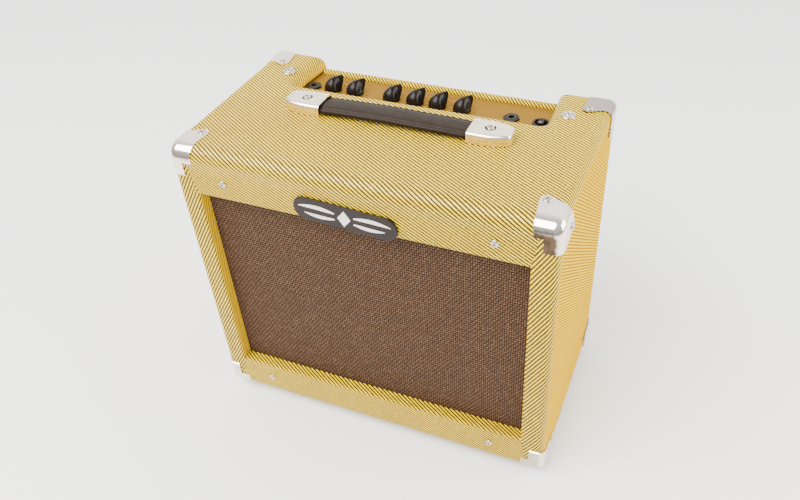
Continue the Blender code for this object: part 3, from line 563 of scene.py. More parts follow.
def recess_rings():
    levels = [300.0, 309.0, 309.6, 310.4, 311.2, 312.2, 313.4] + [EAR_Z + EAR_R * math.sin(math.radians(90 * k / 14)) for k in range(2, 15)]
    levels = sorted(set([round(z, 4) for z in levels] + [322.5, 324.0, 325.3, 326.4, 327.2])) + [H + 8.0]
    rings = []
    for z in levels:
        side = recess_side(z)
        zf = min(max(z - (H - REC_R), 0.0), REC_R)
        front = REC_R - math.sqrt(max(REC_R**2 - zf**2, 0.0))
        if z > H:
            side += 1.0
            front += 1.0
        x0, x1, y0, r = RX0 - side, RX1 + side, RY - front, RC
        run = D + 12.0 - BEND
        ring = [(x0 + LEAN[0] * run, D + 12.0), (x0 + LEAN[0] * 5, BEND + 9.0), (x0, BEND - 3.0)]
        for cx, s in ((x0 + r, 180), (x1 - r, 270)):
            for k in range(13):
                t = math.radians(s + 90 * k / 12)
                ring.append((cx + r * math.cos(t), y0 + r + r * math.sin(t)))
        ring += [(x1, BEND - 3.0), (x1 - LEAN[1] * 5, BEND + 9.0), (x1 - LEAN[1] * run, D + 12.0)]
        rings.append([(x, y, z) for x, y in ring])
    return rings


def opening_rings():
    rings = []
    depth = [-2.0] + [LIP * (1 - math.cos(math.radians(90 * k / 6))) for k in range(7)] + [20.0]
    for y in depth:
        yy = min(max(y, 0.0), LIP)
        out = LIP - math.sqrt(max(LIP**2 - (LIP - yy) ** 2, 0.0))
        if y < 0:
            out += 0.8
        r = 1.2 + out
        rings.append([(x, y, z) for x, z in rounded(OX0 - out, OX1 + out, OZ0 - out, OZ1 + out, r, 4)])
    return rings


def unroll_x(x):
    if x < END_R:
        t = math.asin(min(1.0, (END_R - x) / END_R))
        return END_R - END_R * t
    if x > W - END_R:
        t = math.asin(min(1.0, (x - W + END_R) / END_R))
        return W - END_R + END_R * t
    return x


def unroll_s(y, z):
    """Distance along the cabinet's outline: y on the flat top, running down over the round at the front."""
    r = TOP_R
    if y < r and z > H - r:
        t = math.atan2(r - y, z - (H - r))
        return r - r * t
    if z > H - 0.6 or (z > H - END_R and EDGE_R < y < D - EDGE_R and z > 300):
        return y
    if y < EDGE_R + 0.1 and z > EDGE_R:
        return r - r * math.pi / 2 - (H - r - z)
    return y


def mitre(z):
    """How far from the end the seam between rail and stile lies, at height z."""
    if z > OZ1:
        return OX0 - 7.0 * (z - OZ1) / (H - TOP_R - OZ1)
    if z < OZ0:
        return OX0 - 7.0 * (OZ0 - z) / (OZ0 - EDGE_R)
    return OX0


def cloth_uv(c, n, p):
    """Cloth coordinates in millimetres of point p, on the face with centre c and normal n."""
    x, y, z = p
    cx, cy, cz = c
    u = unroll_x(x)
    end = min(cx, W - cx)
    if end < 0.02:  # flat side
        t = math.radians(7.5)
        yy, k = (y if cx > W / 2 else -y), 1.04
        return k * (yy * math.cos(t) - z * math.sin(t)), k * (yy * math.sin(t) + z * math.cos(t))
    inside = OX0 - 3.2 < cx < OX1 + 3.2 and OZ0 - 3.2 < cz < OZ1 + 3.2 and cy < FRONT_T + 0.1
    if inside and n.y > -0.995:
        deep = max(0.0, y - LIP)
        if abs(n.z) >= abs(n.x):
            if cz < (OZ0 + OZ1) / 2:
                t = math.atan2(max(z - (OZ0 - LIP), 0.0), max(LIP - y, 1e-6)) if y < LIP else math.pi / 2
                zz = OZ0 - LIP + LIP * t + deep
            else:
                t = math.atan2(max((OZ1 + LIP) - z, 0.0), max(LIP - y, 1e-6)) if y < LIP else math.pi / 2
                zz = OZ1 + LIP - LIP * t - deep
            return u, zz + (TOP_R - TOP_R * math.pi / 2 - H + TOP_R)
        if cx < W / 2:
            t = math.atan2(max(x - (OX0 - LIP), 0.0), max(LIP - y, 1e-6)) if y < LIP else math.pi / 2
            xx = OX0 - LIP + LIP * t + deep
        else:
            t = math.atan2(max((OX1 + LIP) - x, 0.0), max(LIP - y, 1e-6)) if y < LIP else math.pi / 2
            xx = OX1 + LIP - LIP * t - deep
        return z, -xx
    if cy < EDGE_R and cz < H - TOP_R + 0.01 and (n.y < -0.3 or end < END_R):
        if end < mitre(cz):
            return z, -u
        return u, z + (2 * TOP_R - TOP_R * math.pi / 2 - H)
    recess = RX0 - EAR_R - 1 < cx < RX1 + EAR_R + 1 and cy > RY - REC_R - 1 and cz > 300 and (cz < H - 0.02 and cy < D - 0.1)
    if recess and (abs(n.x) > 0.05 or n.y > 0.05):
        t = math.acos(min(1.0, max(0.0, (z - EAR_Z) / EAR_R)))
        drop = EAR_R * (t - math.sin(t)) + 1.25 * max(0.0, EAR_Z - z)
        t = math.acos(min(1.0, max(0.0, (z - H + REC_R) / REC_R)))
        down = REC_R * (t - math.sin(t)) + max(0.0, H - REC_R - z)
        flat = math.hypot(n.x, n.y) or 1.0
        wx, wy = n.x / flat, n.y / flat
        return x + wx * abs(wx) * drop, y + wy * wy * down
    if cy > D - 0.5:  # rear rims
        return u, -z + D + H
    return u, unroll_s(y, z)


def cabinet():
    obj = to_object("tweed_cabinet", envelope(0.0))
    boolean(obj, prism([(BOARD, BOARD), (W - BOARD, BOARD), (W - BOARD, 309.0), (BOARD, 309.0)], "Y", FRONT_T, D + 20))
    boolean(obj, loft(bmesh.new(), recess_rings()))
    boolean(obj, loft(bmesh.new(), opening_rings()))
    bm = bmesh.new()
    bm.from_mesh(obj.data)
    for v in bm.verts:
        v.co = Vector(((v.co.x - LO.x) * 1000, (v.co.y - LO.y) * 1000, (v.co.z - LO.z) * 1000))
    bmesh.ops.remove_doubles(bm, verts=bm.verts, dist=0.002)
    bmesh.ops.dissolve_degenerate(bm, dist=0.002, edges=bm.edges)
    # Mitred seams of the cloth on the front, each a shallow groove
    for z0, z1 in ((OZ1, H - TOP_R), (OZ0, EDGE_R)):
        for side in (0, 1):
            a = Vector((mitre(z0), 0, z0))
            b = Vector((mitre(z1), 0, z1))
            if side:
                a.x, b.x = W - a.x, W - b.x
            along = (b - a).normalized()
            across = Vector((along.z, 0, -along.x))
            lo, hi = sorted((z0, z1))
            for off in (-0.55, 0.0, 0.55):
                faces = [f for f in bm.faces if f.normal.y < -0.999 and abs(f.calc_center_median().y) < 0.02]
                geom = set(faces)
                for f in faces:
                    geom.update(f.edges)
                    geom.update(f.verts)
                bmesh.ops.bisect_plane(bm, geom=list(geom), dist=0.0005, plane_co=a + across * off, plane_no=across)
            for v in bm.verts:
                if abs(v.co.y) < 0.02 and lo + 0.3 < v.co.z < hi - 0.3 and abs((v.co - a).dot(across)) < 0.05 and (v.co.x < W / 2) == (side == 0):
                    v.co.y += 0.4
    uv = bm.loops.layers.uv.new("cloth")
    inner = 0
    for f in bm.faces:
        c = f.calc_center_median()
        n = f.normal
        hollow = c.y > FRONT_T - 0.05 and BOARD - 0.1 < c.x < W - BOARD + 0.1 and BOARD - 0.1 < c.z < 309.1 and (
            abs(c.x - BOARD) < 0.05 or abs(c.x - W + BOARD) < 0.05 or abs(c.z - BOARD) < 0.05 or abs(c.z - 309) < 0.05 or abs(c.y - FRONT_T) < 0.06)
        f.material_index = 1 if hollow and abs(c.y - D) > 1 else 0
        inner += f.material_index
        for loop in f.loops:
            loop[uv].uv = cloth_uv(c, n, loop.vert.co)
    for v in bm.verts:
        v.co = cab(*v.co)
    bm.to_mesh(obj.data)
    bm.free()
    # Material indices come from the mesh, so the slots are added after it.
    obj.data.materials.clear()
    finish(obj, [M["tweed"], M["inner"]], replaces=("side_left", "side_right", "top_board", "bottom_board", "front_frame"), angle=32)
    print("cabinet faces", len(obj.data.polygons), "inner", inner)
    return obj


LIP_R = 3.8


def over_lip(y, z, front):
    """Distance up the front of a back panel, over its rounded top and down its rear."""
    (_, y0, _), (_, y1, z1) = cab_box("upper_back_panel")
    zc, a, b = z1 - LIP_R, y0 + LIP_R, y1 - LIP_R
    quarter = LIP_R * math.pi / 2
    edge = zc + quarter + (b - a)
    if z <= zc:
        return edge + 1.5 * (z - edge) if front else edge + quarter + (zc - z)
    if y < a:
        return edge + 1.5 * (zc + LIP_R * math.atan2(z - zc, a - y) - edge)
    if y > b:
        return edge + LIP_R * math.atan2(y - b, z - zc)
    return edge + 1.5 * (y - b)


def planar_cloth(obj):
    """Cloth coordinates for a panel on the back, wrapped over its top edge."""
    mesh = obj.data
    uv = mesh.uv_layers.new(name="cloth")
    for poly in mesh.polygons:
        for li in poly.loop_indices:
            co = mesh.vertices[mesh.loops[li].vertex_index].co
            x, y, z = [(co[i] - LO[i]) * 1000 for i in range(3)]
            if abs(poly.normal.y) > 0.8:
                u, v = x, over_lip(y, z, poly.normal.y < 0)
            elif abs(poly.normal.x) > 0.8:
                u, v = y, z
            else:
                u, v = x, over_lip(y, z, poly.normal.y < 0)
            if z > 290.0 and poly.normal.y < 0.02:
                u *= 0.94
            uv.data[li].uv = (v, u)


def back_panels():
    (x0, y0, z0), (x1, y1, z1) = cab_box("upper_back_panel")
    bz = 208.0
    # Body and the lip that stands up between the ears, rolled over at its top
    body = to_object("upper_back_cover", prism(rounded(x0, x1, bz, 308.7, 1.2, 3), "Y", y0, y1))
    lip = []
    r = LIP_R
    for k in range(9):
        t = math.radians(90 * k / 8)
        lip.append((y0 + r - r * math.cos(t), z1 - r + r * math.sin(t)))
    for k in range(9):
        t = math.radians(90 - 90 * k / 8)
        lip.append((y1 - r + r * math.cos(t), z1 - r + r * math.sin(t)))
    poly = [(y0, 300.0)] + lip + [(y1, 300.0)]
    boolean(body, prism(poly, "X", 57.6, 321.4), "UNION")
    boolean(body, prism([(236, 232), (324, 232), (324, 280), (236, 280)], "Y", y0 - 5, y1 + 5))
    planar_cloth(body)
    finish(body, M["tweed"], replaces=("upper_back_panel",), angle=32)
    (x0, y0, z0), (x1, y1, z1) = cab_box("lower_back_panel")
    low = to_object("lower_back_cover", prism(rounded(x0, x1, z0, z1, 1.5, 3), "Y", y0, y1))
    b = low.modifiers.new("edge", "BEVEL")
    b.width, b.segments, b.limit_method, b.angle_limit = 0.0022, 4, "ANGLE", math.radians(60)
    apply(low)
    planar_cloth(low)
    finish(low, M["tweed"], replaces=("lower_back_panel",), angle=32)


# ------------------------------------------------------------------ screws
def screw_head(name, point, axis, r, h, mat_keys=("screw", "slot"), turn=0.4, washer=None, replaces=()):
    """Pan head with a cross recess, built along +Z and then turned to its axis."""
    prof = [(0, 0.0), (r * 0.98, 0.0), (r, h * 0.16), (r * 0.985, h * 0.40), (r * 0.90, h * 0.64), (r * 0.72, h * 0.84), (r * 0.45, h * 0.96), (0, h)]
    bm = turned(prof, "Z", (0, 0, 0), 32)
    if washer:
        wr, wh = washer
        turned([(r * 0.86, 0.0), (wr, 0.0), (wr * 0.985, wh * 0.35), (wr * 0.86, wh * 0.85), (r * 1.16, wh), (r * 1.04, wh * 0.72)], "Z", (0, 0, 0), 36, bm)
    bmesh.ops.recalc_face_normals(bm, faces=bm.faces)
    mesh = bpy.data.meshes.new(name)
    bm.to_mesh(mesh)
    bm.free()
    obj = bpy.data.objects.new(name, mesh)
    bpy.context.scene.collection.objects.link(obj)
    for k in range(2):
        a, b = (r * 0.60, r * 0.13) if k == 0 else (r * 0.13, r * 0.60)
        cut = bmesh.new()
        top = [(-a, -b), (a, -b), (a, b), (-a, b)]
        s = 0.55
        loft(cut, [[(x * s, y * s, h * 0.25) for x, y in top], [(x, y, h * 1.4) for x, y in top]])
        bmesh.ops.recalc_face_normals(cut, faces=cut.faces)
        cm = bpy.data.meshes.new("cross")
        cut.to_mesh(cm)
        cut.free()
        co = bpy.data.objects.new("cross", cm)
        bpy.context.scene.collection.objects.link(co)
        boolean(obj, co)
    q = Vector((0, 0, 1)).rotation_difference(Vector(axis)).to_matrix().to_4x4()
    move = Matrix.Translation(cab(*point)) @ q @ Matrix.Rotation(turn, 4, "Z") @ Matrix.Scale(0.001, 4)
    obj.data.transform(move)
    base = Vector(axis)
    obj.data.materials.clear()
    finish(obj, [M[mat_keys[0]], M[mat_keys[1]]], replaces=replaces, angle=40)
    # Painted shade: the floor of the cross recess takes the dark recess material.
    origin = cab(*point)
    for p in obj.data.polygons:
        d = (p.center - origin).dot(base) * 1000
        flat = ((p.center - origin) - base * (p.center - origin).dot(base)).length * 1000
        p.material_index = 1 if d < h * 0.5 and d > h * 0.1 and flat < r * 0.6 else 0
    return obj


def screws():
    for k in range(4):
        lo, hi = cab_box(f"front_screw_{k + 1}")
        screw_head(f"front_screw_head_{k + 1}", ((lo[0] + hi[0]) / 2, -0.15, (lo[2] + hi[2]) / 2), (0, -1, 0), 4.0, 2.1, turn=rng.uniform(0, 1.5), replaces=(f"front_screw_{k + 1}",))
    for side in ("left", "right"):
        lo, hi = cab_box(f"chassis_screw_{side}")
        screw_head(f"cup_screw_{side}", ((lo[0] + hi[0]) / 2, (lo[1] + hi[1]) / 2, H + 0.05), (0, 0, 1), 3.5, 2.6, turn=rng.uniform(0, 1.5), washer=(7.2, 1.7), replaces=(f"chassis_screw_{side}",))
        lo, hi = cab_box(f"handle_screw_{side}")
        screw_head(f"strap_screw_{side}", ((lo[0] + hi[0]) / 2, (lo[1] + hi[1]) / 2, lo[2] - 0.9), (0, 0, 1), 3.9, 1.9, turn=rng.uniform(0, 1.5), replaces=(f"handle_screw_{side}",))
    for x in (30.0, 190.0, 350.0):
        for z in (222.0, 296.0):
            if 228 < x < 332 and z > 280:
                continue
            screw_head(f"back_screw_u{int(x)}_{int(z)}", (x, D - 1.0, z), (0, 1, 0), 3.6, 1.8, turn=rng.uniform(0, 1.5), washer=None)
        for z in (28.0, 84.0):
            screw_head(f"back_screw_l{int(x)}_{int(z)}", (x, D - 1.0, z), (0, 1, 0), 3.6, 1.8, turn=rng.uniform(0, 1.5))
    for x in (234.0, 326.0):
        for z in (232.0, 280.0):
            screw_head(f"plate_screw_{int(x)}_{int(z)}", (x, D + 0.9, z), (0, 1, 0), 2.8, 1.4, turn=rng.uniform(0, 1.5))


# ------------------------------------------------------------------ corners
def corners():
    """Pressed corners in three lobes. Three shapes are built and then mirrored."""
    outer, inner = to_object("outer", envelope(1.35)), to_object("inner", envelope(0.12))
    big = [(-6, -6), (24, -6), (25.2, 10), (26.2, 20), (27.6, 29), (26.6, 33.2), (23.4, 35.8), (20, 35.8), (16.4, 33.6), (9, 29.8), (-6, 26.5)]
    front = [(-6, -6), (23.4, -6), (23.3, 6), (23, 11.5), (21.2, 14.4), (16, 15.0), (11.6, 15.4), (10.4, 17.2), (9.2, 23.6), (7.2, 28.4), (4.0, 30), (-6, 30.2)]
    low_front = [(-6, -6), (23.4, -6), (23.0, 1.5), (21.6, 4.4), (18.0, 5.6), (12.5, 6.4), (8.6, 9.4), (6.6, 13.6), (4.2, 15.6), (-6, 16)]
    side = [(-6, -6), (26.5, -6), (29.8, 9), (33.6, 16.4), (35.8, 20), (35.8, 23.4), (33.2, 26.6), (29, 27.6), (20, 28.4), (10, 30.2), (-6, 31)]

    def rounded_lobe(poly):
        # The outline is smoothed by cutting its corners.
        keep = smooth_closed(poly, 2)
        return keep

    shapes = {}
    for key, mouth, level in (("front_top", front, "top"), ("front_bottom", low_front, "bottom"), ("rear_top", big, "top")):
        end = key.split("_")[0]

        def at(u, v, w, end=end, level=level):
            return (u, v if end == "front" else D - v, H - w if level == "top" else w)

        deep = 15.5
        a = to_object(key, loft(bmesh.new(), [[at(u, v, h) for u, v in rounded_lobe(big)] for h in (-6.2, deep)]))
        boolean(a, loft(bmesh.new(), [[at(u, h, w) for u, w in rounded_lobe(mouth)] for h in (-6.4, deep - 0.3)]), "UNION")
        boolean(a, loft(bmesh.new(), [[at(h, v, w) for v, w in rounded_lobe(side)] for h in (-6.6, deep - 0.6)]), "UNION")
        boolean(a, outer, "INTERSECT", keep=True)
        boolean(a, inner, keep=True)
        b = a.modifiers.new("edge", "BEVEL")
        b.width, b.segments, b.limit_method, b.angle_limit = 0.00042, 3, "ANGLE", math.radians(50)
        apply(a)
        shapes[key] = a
    bpy.data.objects.remove(outer)
    bpy.data.objects.remove(inner)
    mid = cab(W / 2, D / 2, H / 2)
    for end in ("front", "rear"):
        for level in ("top", "bottom"):
            for sidename in ("left", "right"):
                src = shapes.get(f"{end}_{level}") or shapes["rear_top"]
                mesh = src.data.copy()
                sx = -1 if sidename == "right" else 1
                sz = -1 if (end == "rear" and level == "bottom") else 1
                mat = Matrix.Translation(mid) @ Matrix.Diagonal((sx, 1, sz, 1)) @ Matrix.Translation(-mid)
                mesh.transform(mat)
                if sx * sz < 0:
                    mesh.flip_normals()
                obj = bpy.data.objects.new(f"chrome_corner_{end}_{level}_{sidename}", mesh)
                bpy.context.scene.collection.objects.link(obj)
                finish(obj, M["chrome"], replaces=(f"corner_{end}_{level}_{sidename}",), angle=50)
                # Screws on the lobes

                def at(u, v, w, s=sidename, e=end, lv=level):
                    return (u if s == "left" else W - u, v if e == "front" else D - v, H - w if lv == "top" else w)

                nx = -1 if sidename == "left" else 1
                ny = -1 if end == "front" else 1
                nz = 1 if level == "top" else -1
                tag = f"{end}_{level}_{sidename}"
                screw_head(f"corner_screw_a_{tag}", at(21.2, 29.6, -1.25), (0, 0, nz), 4.0, 1.7, turn=rng.uniform(0, 1.5))
                screw_head(f"corner_screw_b_{tag}", at(-1.25, 29.6, 21.2), (nx, 0, 0), 4.0, 1.7, turn=rng.uniform(0, 1.5))
                if end == "rear":
                    screw_head(f"corner_screw_c_{tag}", at(21.2, -1.25, 29.6), (0, ny, 0), 3.3, 1.5, turn=rng.uniform(0, 1.5))
    for s in shapes.values():
        bpy.data.objects.remove(s)


# ------------------------------------------------------------------ handle
def handle():
    top = (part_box("handle_cap_left")[1].z - LO.z) * 1000 - H
    hy = sum(cab_box("handle_cap_left")[i][1] for i in (0, 1)) / 2
    half = 15.0
    for side, s in (("left", -1.0), ("right", 1.0)):
        lo, hi = cab_box(f"handle_screw_{side}")
        cx = (lo[0] + hi[0]) / 2
        outline = []
        base = [(-19.0, -half), (-12.0, -half), (-6.0, -half), (0.0, -half + 0.1), (5.0, -half + 0.6), (10.0, -half + 1.6), (15.0, -half + 3.0), (18.6, -half + 4.5), (21.0, -half + 6.6), (21.9, -half + 9.4), (22.0, 0.0)]
        pts = base + [(a, -b) for a, b in base[-2::-1]]
        # Refine with a spline through the points, keeping the straight inner end.
        fine = []
        for k in range(len(pts) - 1):
            p0 = pts[max(k - 1, 0)]; p1 = pts[k]; p2 = pts[k + 1]; p3 = pts[min(k + 2, len(pts) - 1)]
            for j in range(4):
                t = j / 4
                fine.append(tuple(0.5 * ((2 * p1[i]) + (-p0[i] + p2[i]) * t + (2 * p0[i] - 5 * p1[i] + 4 * p2[i] - p3[i]) * t * t + (-p0[i] + 3 * p1[i] - 3 * p2[i] + p3[i]) * t**3) for i in (0, 1)))
        fine.append(pts[-1])
        rings = []
        for z, d in ((0.3, 0.25), (0.8, 0.0), (7.6, 0.1), (8.8, 0.35), (9.7, 0.85), (10.4, 1.5), (10.9, 2.3), (11.2, 3.2), (top, 4.2)):
            ring = []
            for a, b in fine:
                k = 1.0 - d / half
                ring.append((cx + s * (-19.0 + max(a + 19.0, 0.0) * (1.0 - d / 41.0)), hy + b * k, H + z))
            rings.append(ring)
        obj = to_object(f"strap_end_{side}", loft(bmesh.new(), rings))
        lo_x, hi_x = sorted((cx - s * 25.0, cx - s * 13.0))
        slot = prism(rounded(hy - 14.1, hy + 14.1, H + 2.2, H + 9.8, 1.6, 4), "X", lo_x, hi_x)
        boolean(obj, slot)
        boolean(obj, turned([(0, top - 1.5), (5.0, top - 1.5), (5.4, top - 0.2), (5.7, top + 0.2), (5.7, top + 4), (0, top + 4)], "Z", (cx, hy, H), 48))
        # Painted shade: a dark ring at the bottom of the gap round the cap's screw.
        ring = to_object(f"cap_recess_{side}", turned([(3.4, top - 1.55), (4.98, top - 1.55), (4.98, top - 1.15), (3.4, top - 1.15)], "Z", (cx, hy, H), 48))
        finish(ring, M["slot"])
        # Two shallow pressed lines across the inner end
        for off in (-16.6, -14.5):
            x = cx + s * off
            boolean(obj, prism([(x - 0.4, H + top - 0.6), (x + 0.4, H + top - 0.6), (x + 0.8, H + top + 1), (x - 0.8, H + top + 1)], "Y", hy - 11.0, hy + 11.0))
        finish(obj, M["cap"], replaces=(f"handle_cap_{side}",), angle=38, bevel=0.25)

    (x0, y0, z0), (x1, y1, z1) = cab_box("handle_strap")
    left, right = x0 + 5.4, x1 - 5.4
    sec = [(-13.7, 0.9), (-13.0, 0.25), (-12.0, 0.0), (12.0, 0.0), (13.0, 0.25), (13.7, 0.9), (13.85, 2.0), (13.75, 3.2), (13.2, 4.1), (12.4, 4.7), (11.7, 4.9), (11.15, 4.75),
           (10.7, 4.3), (10.2, 4.3), (9.7, 4.9), (8.9, 5.6), (6.0, 6.1), (0.0, 6.4)]
    sec = sec + [(-a, b) for a, b in sec[-2:4:-1]]
    rings = []
    n = 60
    stations = [x0] + [left + 0.35] + [left + (right - left) * k / n for k in range(n + 1)][1:-1] + [right - 0.35, x1]
    for i, x in enumerate(stations):
        edge = x < left + 0.4 or x > right - 0.4
        k = 0.885 if edge else 1.0
        q = (x - W / 2) / ((right - left) / 2)
        rise = 1.6 * max(0.0, 1 - q * q)
        wave = 0.12 * math.sin(x * 0.11) + 0.05 * math.sin(x * 0.37 + 1.0)
        rings.append([(x, hy + y * k + 0.25 * math.sin(x * 0.05), H + 2.6 + rise + z + (wave if z > 3 else 0.0)) for y, z in sec])
    obj = to_object("strap_leather", loft(bmesh.new(), rings))
    finish(obj, M["strap"], replaces=("handle_strap",), angle=60)
    # Rows of stitches in the grooves
    for side in (-1, 1):
        bm = bmesh.new()
        x = left + 4
        while x < right - 4:
            q = (x - W / 2) / ((right - left) / 2)
            z = H + 2.6 + 1.6 * (1 - q * q) + 4.42 + 0.12 * math.sin(x * 0.11)
            y = hy + side * 10.45 + 0.25 * math.sin(x * 0.05)
            rings = []
            for k in range(5):
                t = k / 4
                r = 0.26 * (0.35 + 0.65 * math.sin(math.pi * (0.12 + 0.76 * t)))
                rings.append([(x + 2.2 * t, y + r * math.cos(a), z + 0.18 * math.sin(math.pi * t) + r * math.sin(a)) for a in [2 * math.pi * j / 8 for j in range(8)]])
            loft(bm, rings)
            x += 3.0
        obj = to_object(f"strap_stitches_{'front' if side < 0 else 'rear'}", bm)
        finish(obj, M["stitch"], angle=60, weighted=False)


M["stitch"] = plastic("stitch_thread", (0.022, 0.015, 0.010), 0.6, 0.15, 0.00005, 3000.0)


# ------------------------------------------------------------------ name plate with a plain ornament
def name_plate():
    lo, hi = cab_box("name_plate")
    cx, cz, tilt = 184.0, 289.0, math.radians(-3.0)

    def turn(poly):
        return [(cx + a * math.cos(tilt) - b * math.sin(tilt), cz + a * math.sin(tilt) + b * math.cos(tilt)) for a, b in poly]

    obj = to_object("plate_body", prism(turn(rounded(-51.8, 51.8, -12.4, 12.4, 12.0, 12)), "Y", -2.6, -0.2))
    finish(obj, M["plate"], replaces=("name_plate",), bevel=0.8, segments=4)
    # A diamond between two pairs of tapering leaves
    bm = bmesh.new()

    def leaf(a0, a1, b0, w, bend):
        n = 18
        up, low = [], []
        for k in range(n + 1):
            t = k / n
            a = a0 + (a1 - a0) * t
            b = b0 + bend * math.sin(math.pi * t)
            q = w * math.sin(math.pi * min(1.0, 0.06 + 0.94 * t)) ** 0.8
            up.append((a, b + q))
            low.append((a, b - q))
        return up + low[::-1]

    shapes = [
        [(-6.5, 0), (0, -8.6), (6.5, 0), (0, 8.6)],
        leaf(-9.5, -46.0, 3.2, 1.9, 1.6), leaf(-9.5, -40.0, -3.4, 1.7, -1.4),
        leaf(9.5, 46.0, 3.2, 1.9, 1.6), leaf(9.5, 40.0, -3.4, 1.7, -1.4),
    ]
    for poly in shapes:
        pts = turn(poly)
        loft(bm, [[(a, -2.3, b) for a, b in pts], [(a, -3.3, b) for a, b in pts]])
    obj = to_object("plate_ornament", bm)
    finish(obj, M["white"], bevel=0.22)


# ------------------------------------------------------------------ controls
KNOBS = [f"knob_{k}" for k in range(1, 7)]
PANEL_Z = (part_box("control_panel")[1].z - LO.z) * 1000


def joint_place(name):
    j = next(j for j in frame["joints"] if j["name"] == name)
    return [(v - o) * 1000 for v, o in zip(j["pos_m"], LO)]


def spline(keys, t):
    """Catmull-Rom through rows of numbers, t from 0 to len(keys)-1."""
    k = min(int(t), len(keys) - 2)
    f = t - k
    p0, p1, p2, p3 = keys[max(k - 1, 0)], keys[k], keys[k + 1], keys[min(k + 2, len(keys) - 1)]
    return [0.5 * (2 * b + (c - a) * f + (2 * a - 5 * b + 4 * c - d) * f * f + (-a + 3 * b - 3 * c + d) * f**3) for a, b, c, d in zip(p0, p1, p2, p3)]


def knobs():
    levels = [
        # height, reach of the beak, reach of the tail, half-width, how much the beak narrows
        (0.9, 9.1, 9.1, 9.1, 0.0), (1.3, 9.4, 9.4, 9.4, 0.0), (2.2, 9.5, 9.35, 9.3, 0.04), (3.2, 9.8, 9.3, 9.2, 0.10), (4.6, 10.5, 9.0, 8.8, 0.22), (7.0, 11.5, 8.3, 8.0, 0.36),
        (9.6, 12.1, 7.0, 6.7, 0.46), (11.6, 12.3, 5.3, 5.2, 0.50), (13.3, 12.1, 3.2, 3.6, 0.50), (14.3, 11.6, 1.5, 2.3, 0.46), (14.75, 11.0, 0.5, 1.4, 0.42),
    ]
    n, steps = 64, 40
    for k, name in enumerate(KNOBS):
        x0, y0, _ = joint_place(f"{name}_turn")
        a0 = math.radians(38.0)
        rings = []
        for i in range(steps + 1):
            z, beak, tail, width, narrow = spline(levels, (len(levels) - 1) * i / steps)
            ring = []
            for j in range(n):
                t = 2 * math.pi * j / n
                c, s = math.cos(t), math.sin(t)
                x = c * (beak if c > 0 else tail)
                q = min(1.0, max(0.0, c) / 0.62)
                y = s * width * (1.0 - narrow * q * q * (3 - 2 * q))
                rise = 0.15 * x * (z / 14.75) ** 1.6
                ring.append((x0 + x * math.cos(a0) - y * math.sin(a0), y0 + x * math.sin(a0) + y * math.cos(a0), PANEL_Z + z * 0.985 + rise))
            rings.append(ring)
        obj = to_object(f"pointer_{name}", loft(bmesh.new(), rings))
        finish(obj, M["knob"], body=name, replaces=(name,), angle=48, bevel=0.35)
        # Shaft seen under the skirt
        sh = to_object(f"shaft_{name}", turned([(0, -10.0), (3.0, -10.0), (3.0, 0.95), (0, 0.95)], "Z", (x0, y0, PANEL_Z), 24))
        finish(sh, M["screw"], body=name)


def panel_print():
    """Dial ticks and border lines in dark ink, a hair above the panel."""
    z = PANEL_Z + 0.02
    bm = bmesh.new()
    for name in KNOBS:
        x0, y0, _ = joint_place(f"{name}_turn")
        for k in range(11):
            a = math.radians(240 - 30 * k)
            r0, r1 = (12.6, 15.2) if k % 5 else (12.4, 16.0)
            w = 0.36 if k % 5 else 0.55
            dx, dy = math.cos(a), math.sin(a)
            p = [(x0 + dx * r + sgn * -dy * w, y0 + dy * r + sgn * dx * w) for r, sgn in ((r0, -1), (r1, -1), (r1, 1), (r0, 1))]
            if min(q[1] for q in p) < RY + 1.4:
                continue
            loft(bm, [[(a_, b_, z) for a_, b_ in p], [(a_, b_, z + 0.05) for a_, b_ in p]])
    # A thin border line round the knob groups
    for x0, x1 in ((78.0, 121.0), (143.0, 241.0)):
        y = 196.0
        loft(bm, [[(x0, y, z), (x1, y, z), (x1, y + 0.5, z), (x0, y + 0.5, z)], [(x0, y, z + 0.05), (x1, y, z + 0.05), (x1, y + 0.5, z + 0.05), (x0, y + 0.5, z + 0.05)]])
    obj = to_object("panel_ticks", bm)
    finish(obj, M["ink"], weighted=False)


def jacks():
    for name in ("input_jack", "output_jack"):
        lo, hi = cab_box(name)
        x, y = (lo[0] + hi[0]) / 2, (lo[1] + hi[1]) / 2
        R = 8.7
        body = to_object(f"{name}_hex", loft(bmesh.new(), [
            [(x + r * math.cos(a), y + r * math.sin(a), PANEL_Z + z) for a in [2 * math.pi * k / 6 for k in range(6)]]
            for z, r in ((0.05, R - 0.4), (0.35, R), (1.7, R), (2.2, R - 0.5))]))
        # The hexagon's corners are turned down on top.
        boolean(body, turned([(0, -1.0), (R * 1.01, -1.0), (R * 1.01, 1.2), (R * 0.86, 2.3), (R * 0.86, 2.6), (0, 2.6)], "Z", (x, y, PANEL_Z), 48), "INTERSECT")
        boolean(body, turned([(0, -2.0), (5.35, -2.0), (5.35, 1.9), (5.8, 4.0), (0, 4.0)], "Z", (x, y, PANEL_Z), 40))
        finish(body, M["nut"], replaces=(f"{name}_nut",), bevel=0.25)
        prof = [(5.0, -1.2)]
        zz = -1.2
        while zz < 1.5:
            prof += [(5.0, zz + 0.25), (4.78, zz + 0.5)]
            zz += 0.5
        prof += [(4.95, 1.9), (4.75, 2.3), (4.3, 2.45), (3.7, 2.4), (3.45, 2.0), (3.40, -20.0), (4.2, -20.0), (4.2, -1.2)]
        bush = to_object(f"{name}_bushing", turned(prof, "Z", (x, y, PANEL_Z), 40))
        finish(bush, M["washer"], angle=50)
        # Painted shade: a dark sleeve lines the jack's hole.
        tip = to_object(f"{name}_dark", turned([(3.36, -20.0), (3.36, 0.9), (2.9, 0.9), (2.8, -20.0)], "Z", (x, y, PANEL_Z), 32))
        finish(tip, M["slot"], angle=50)


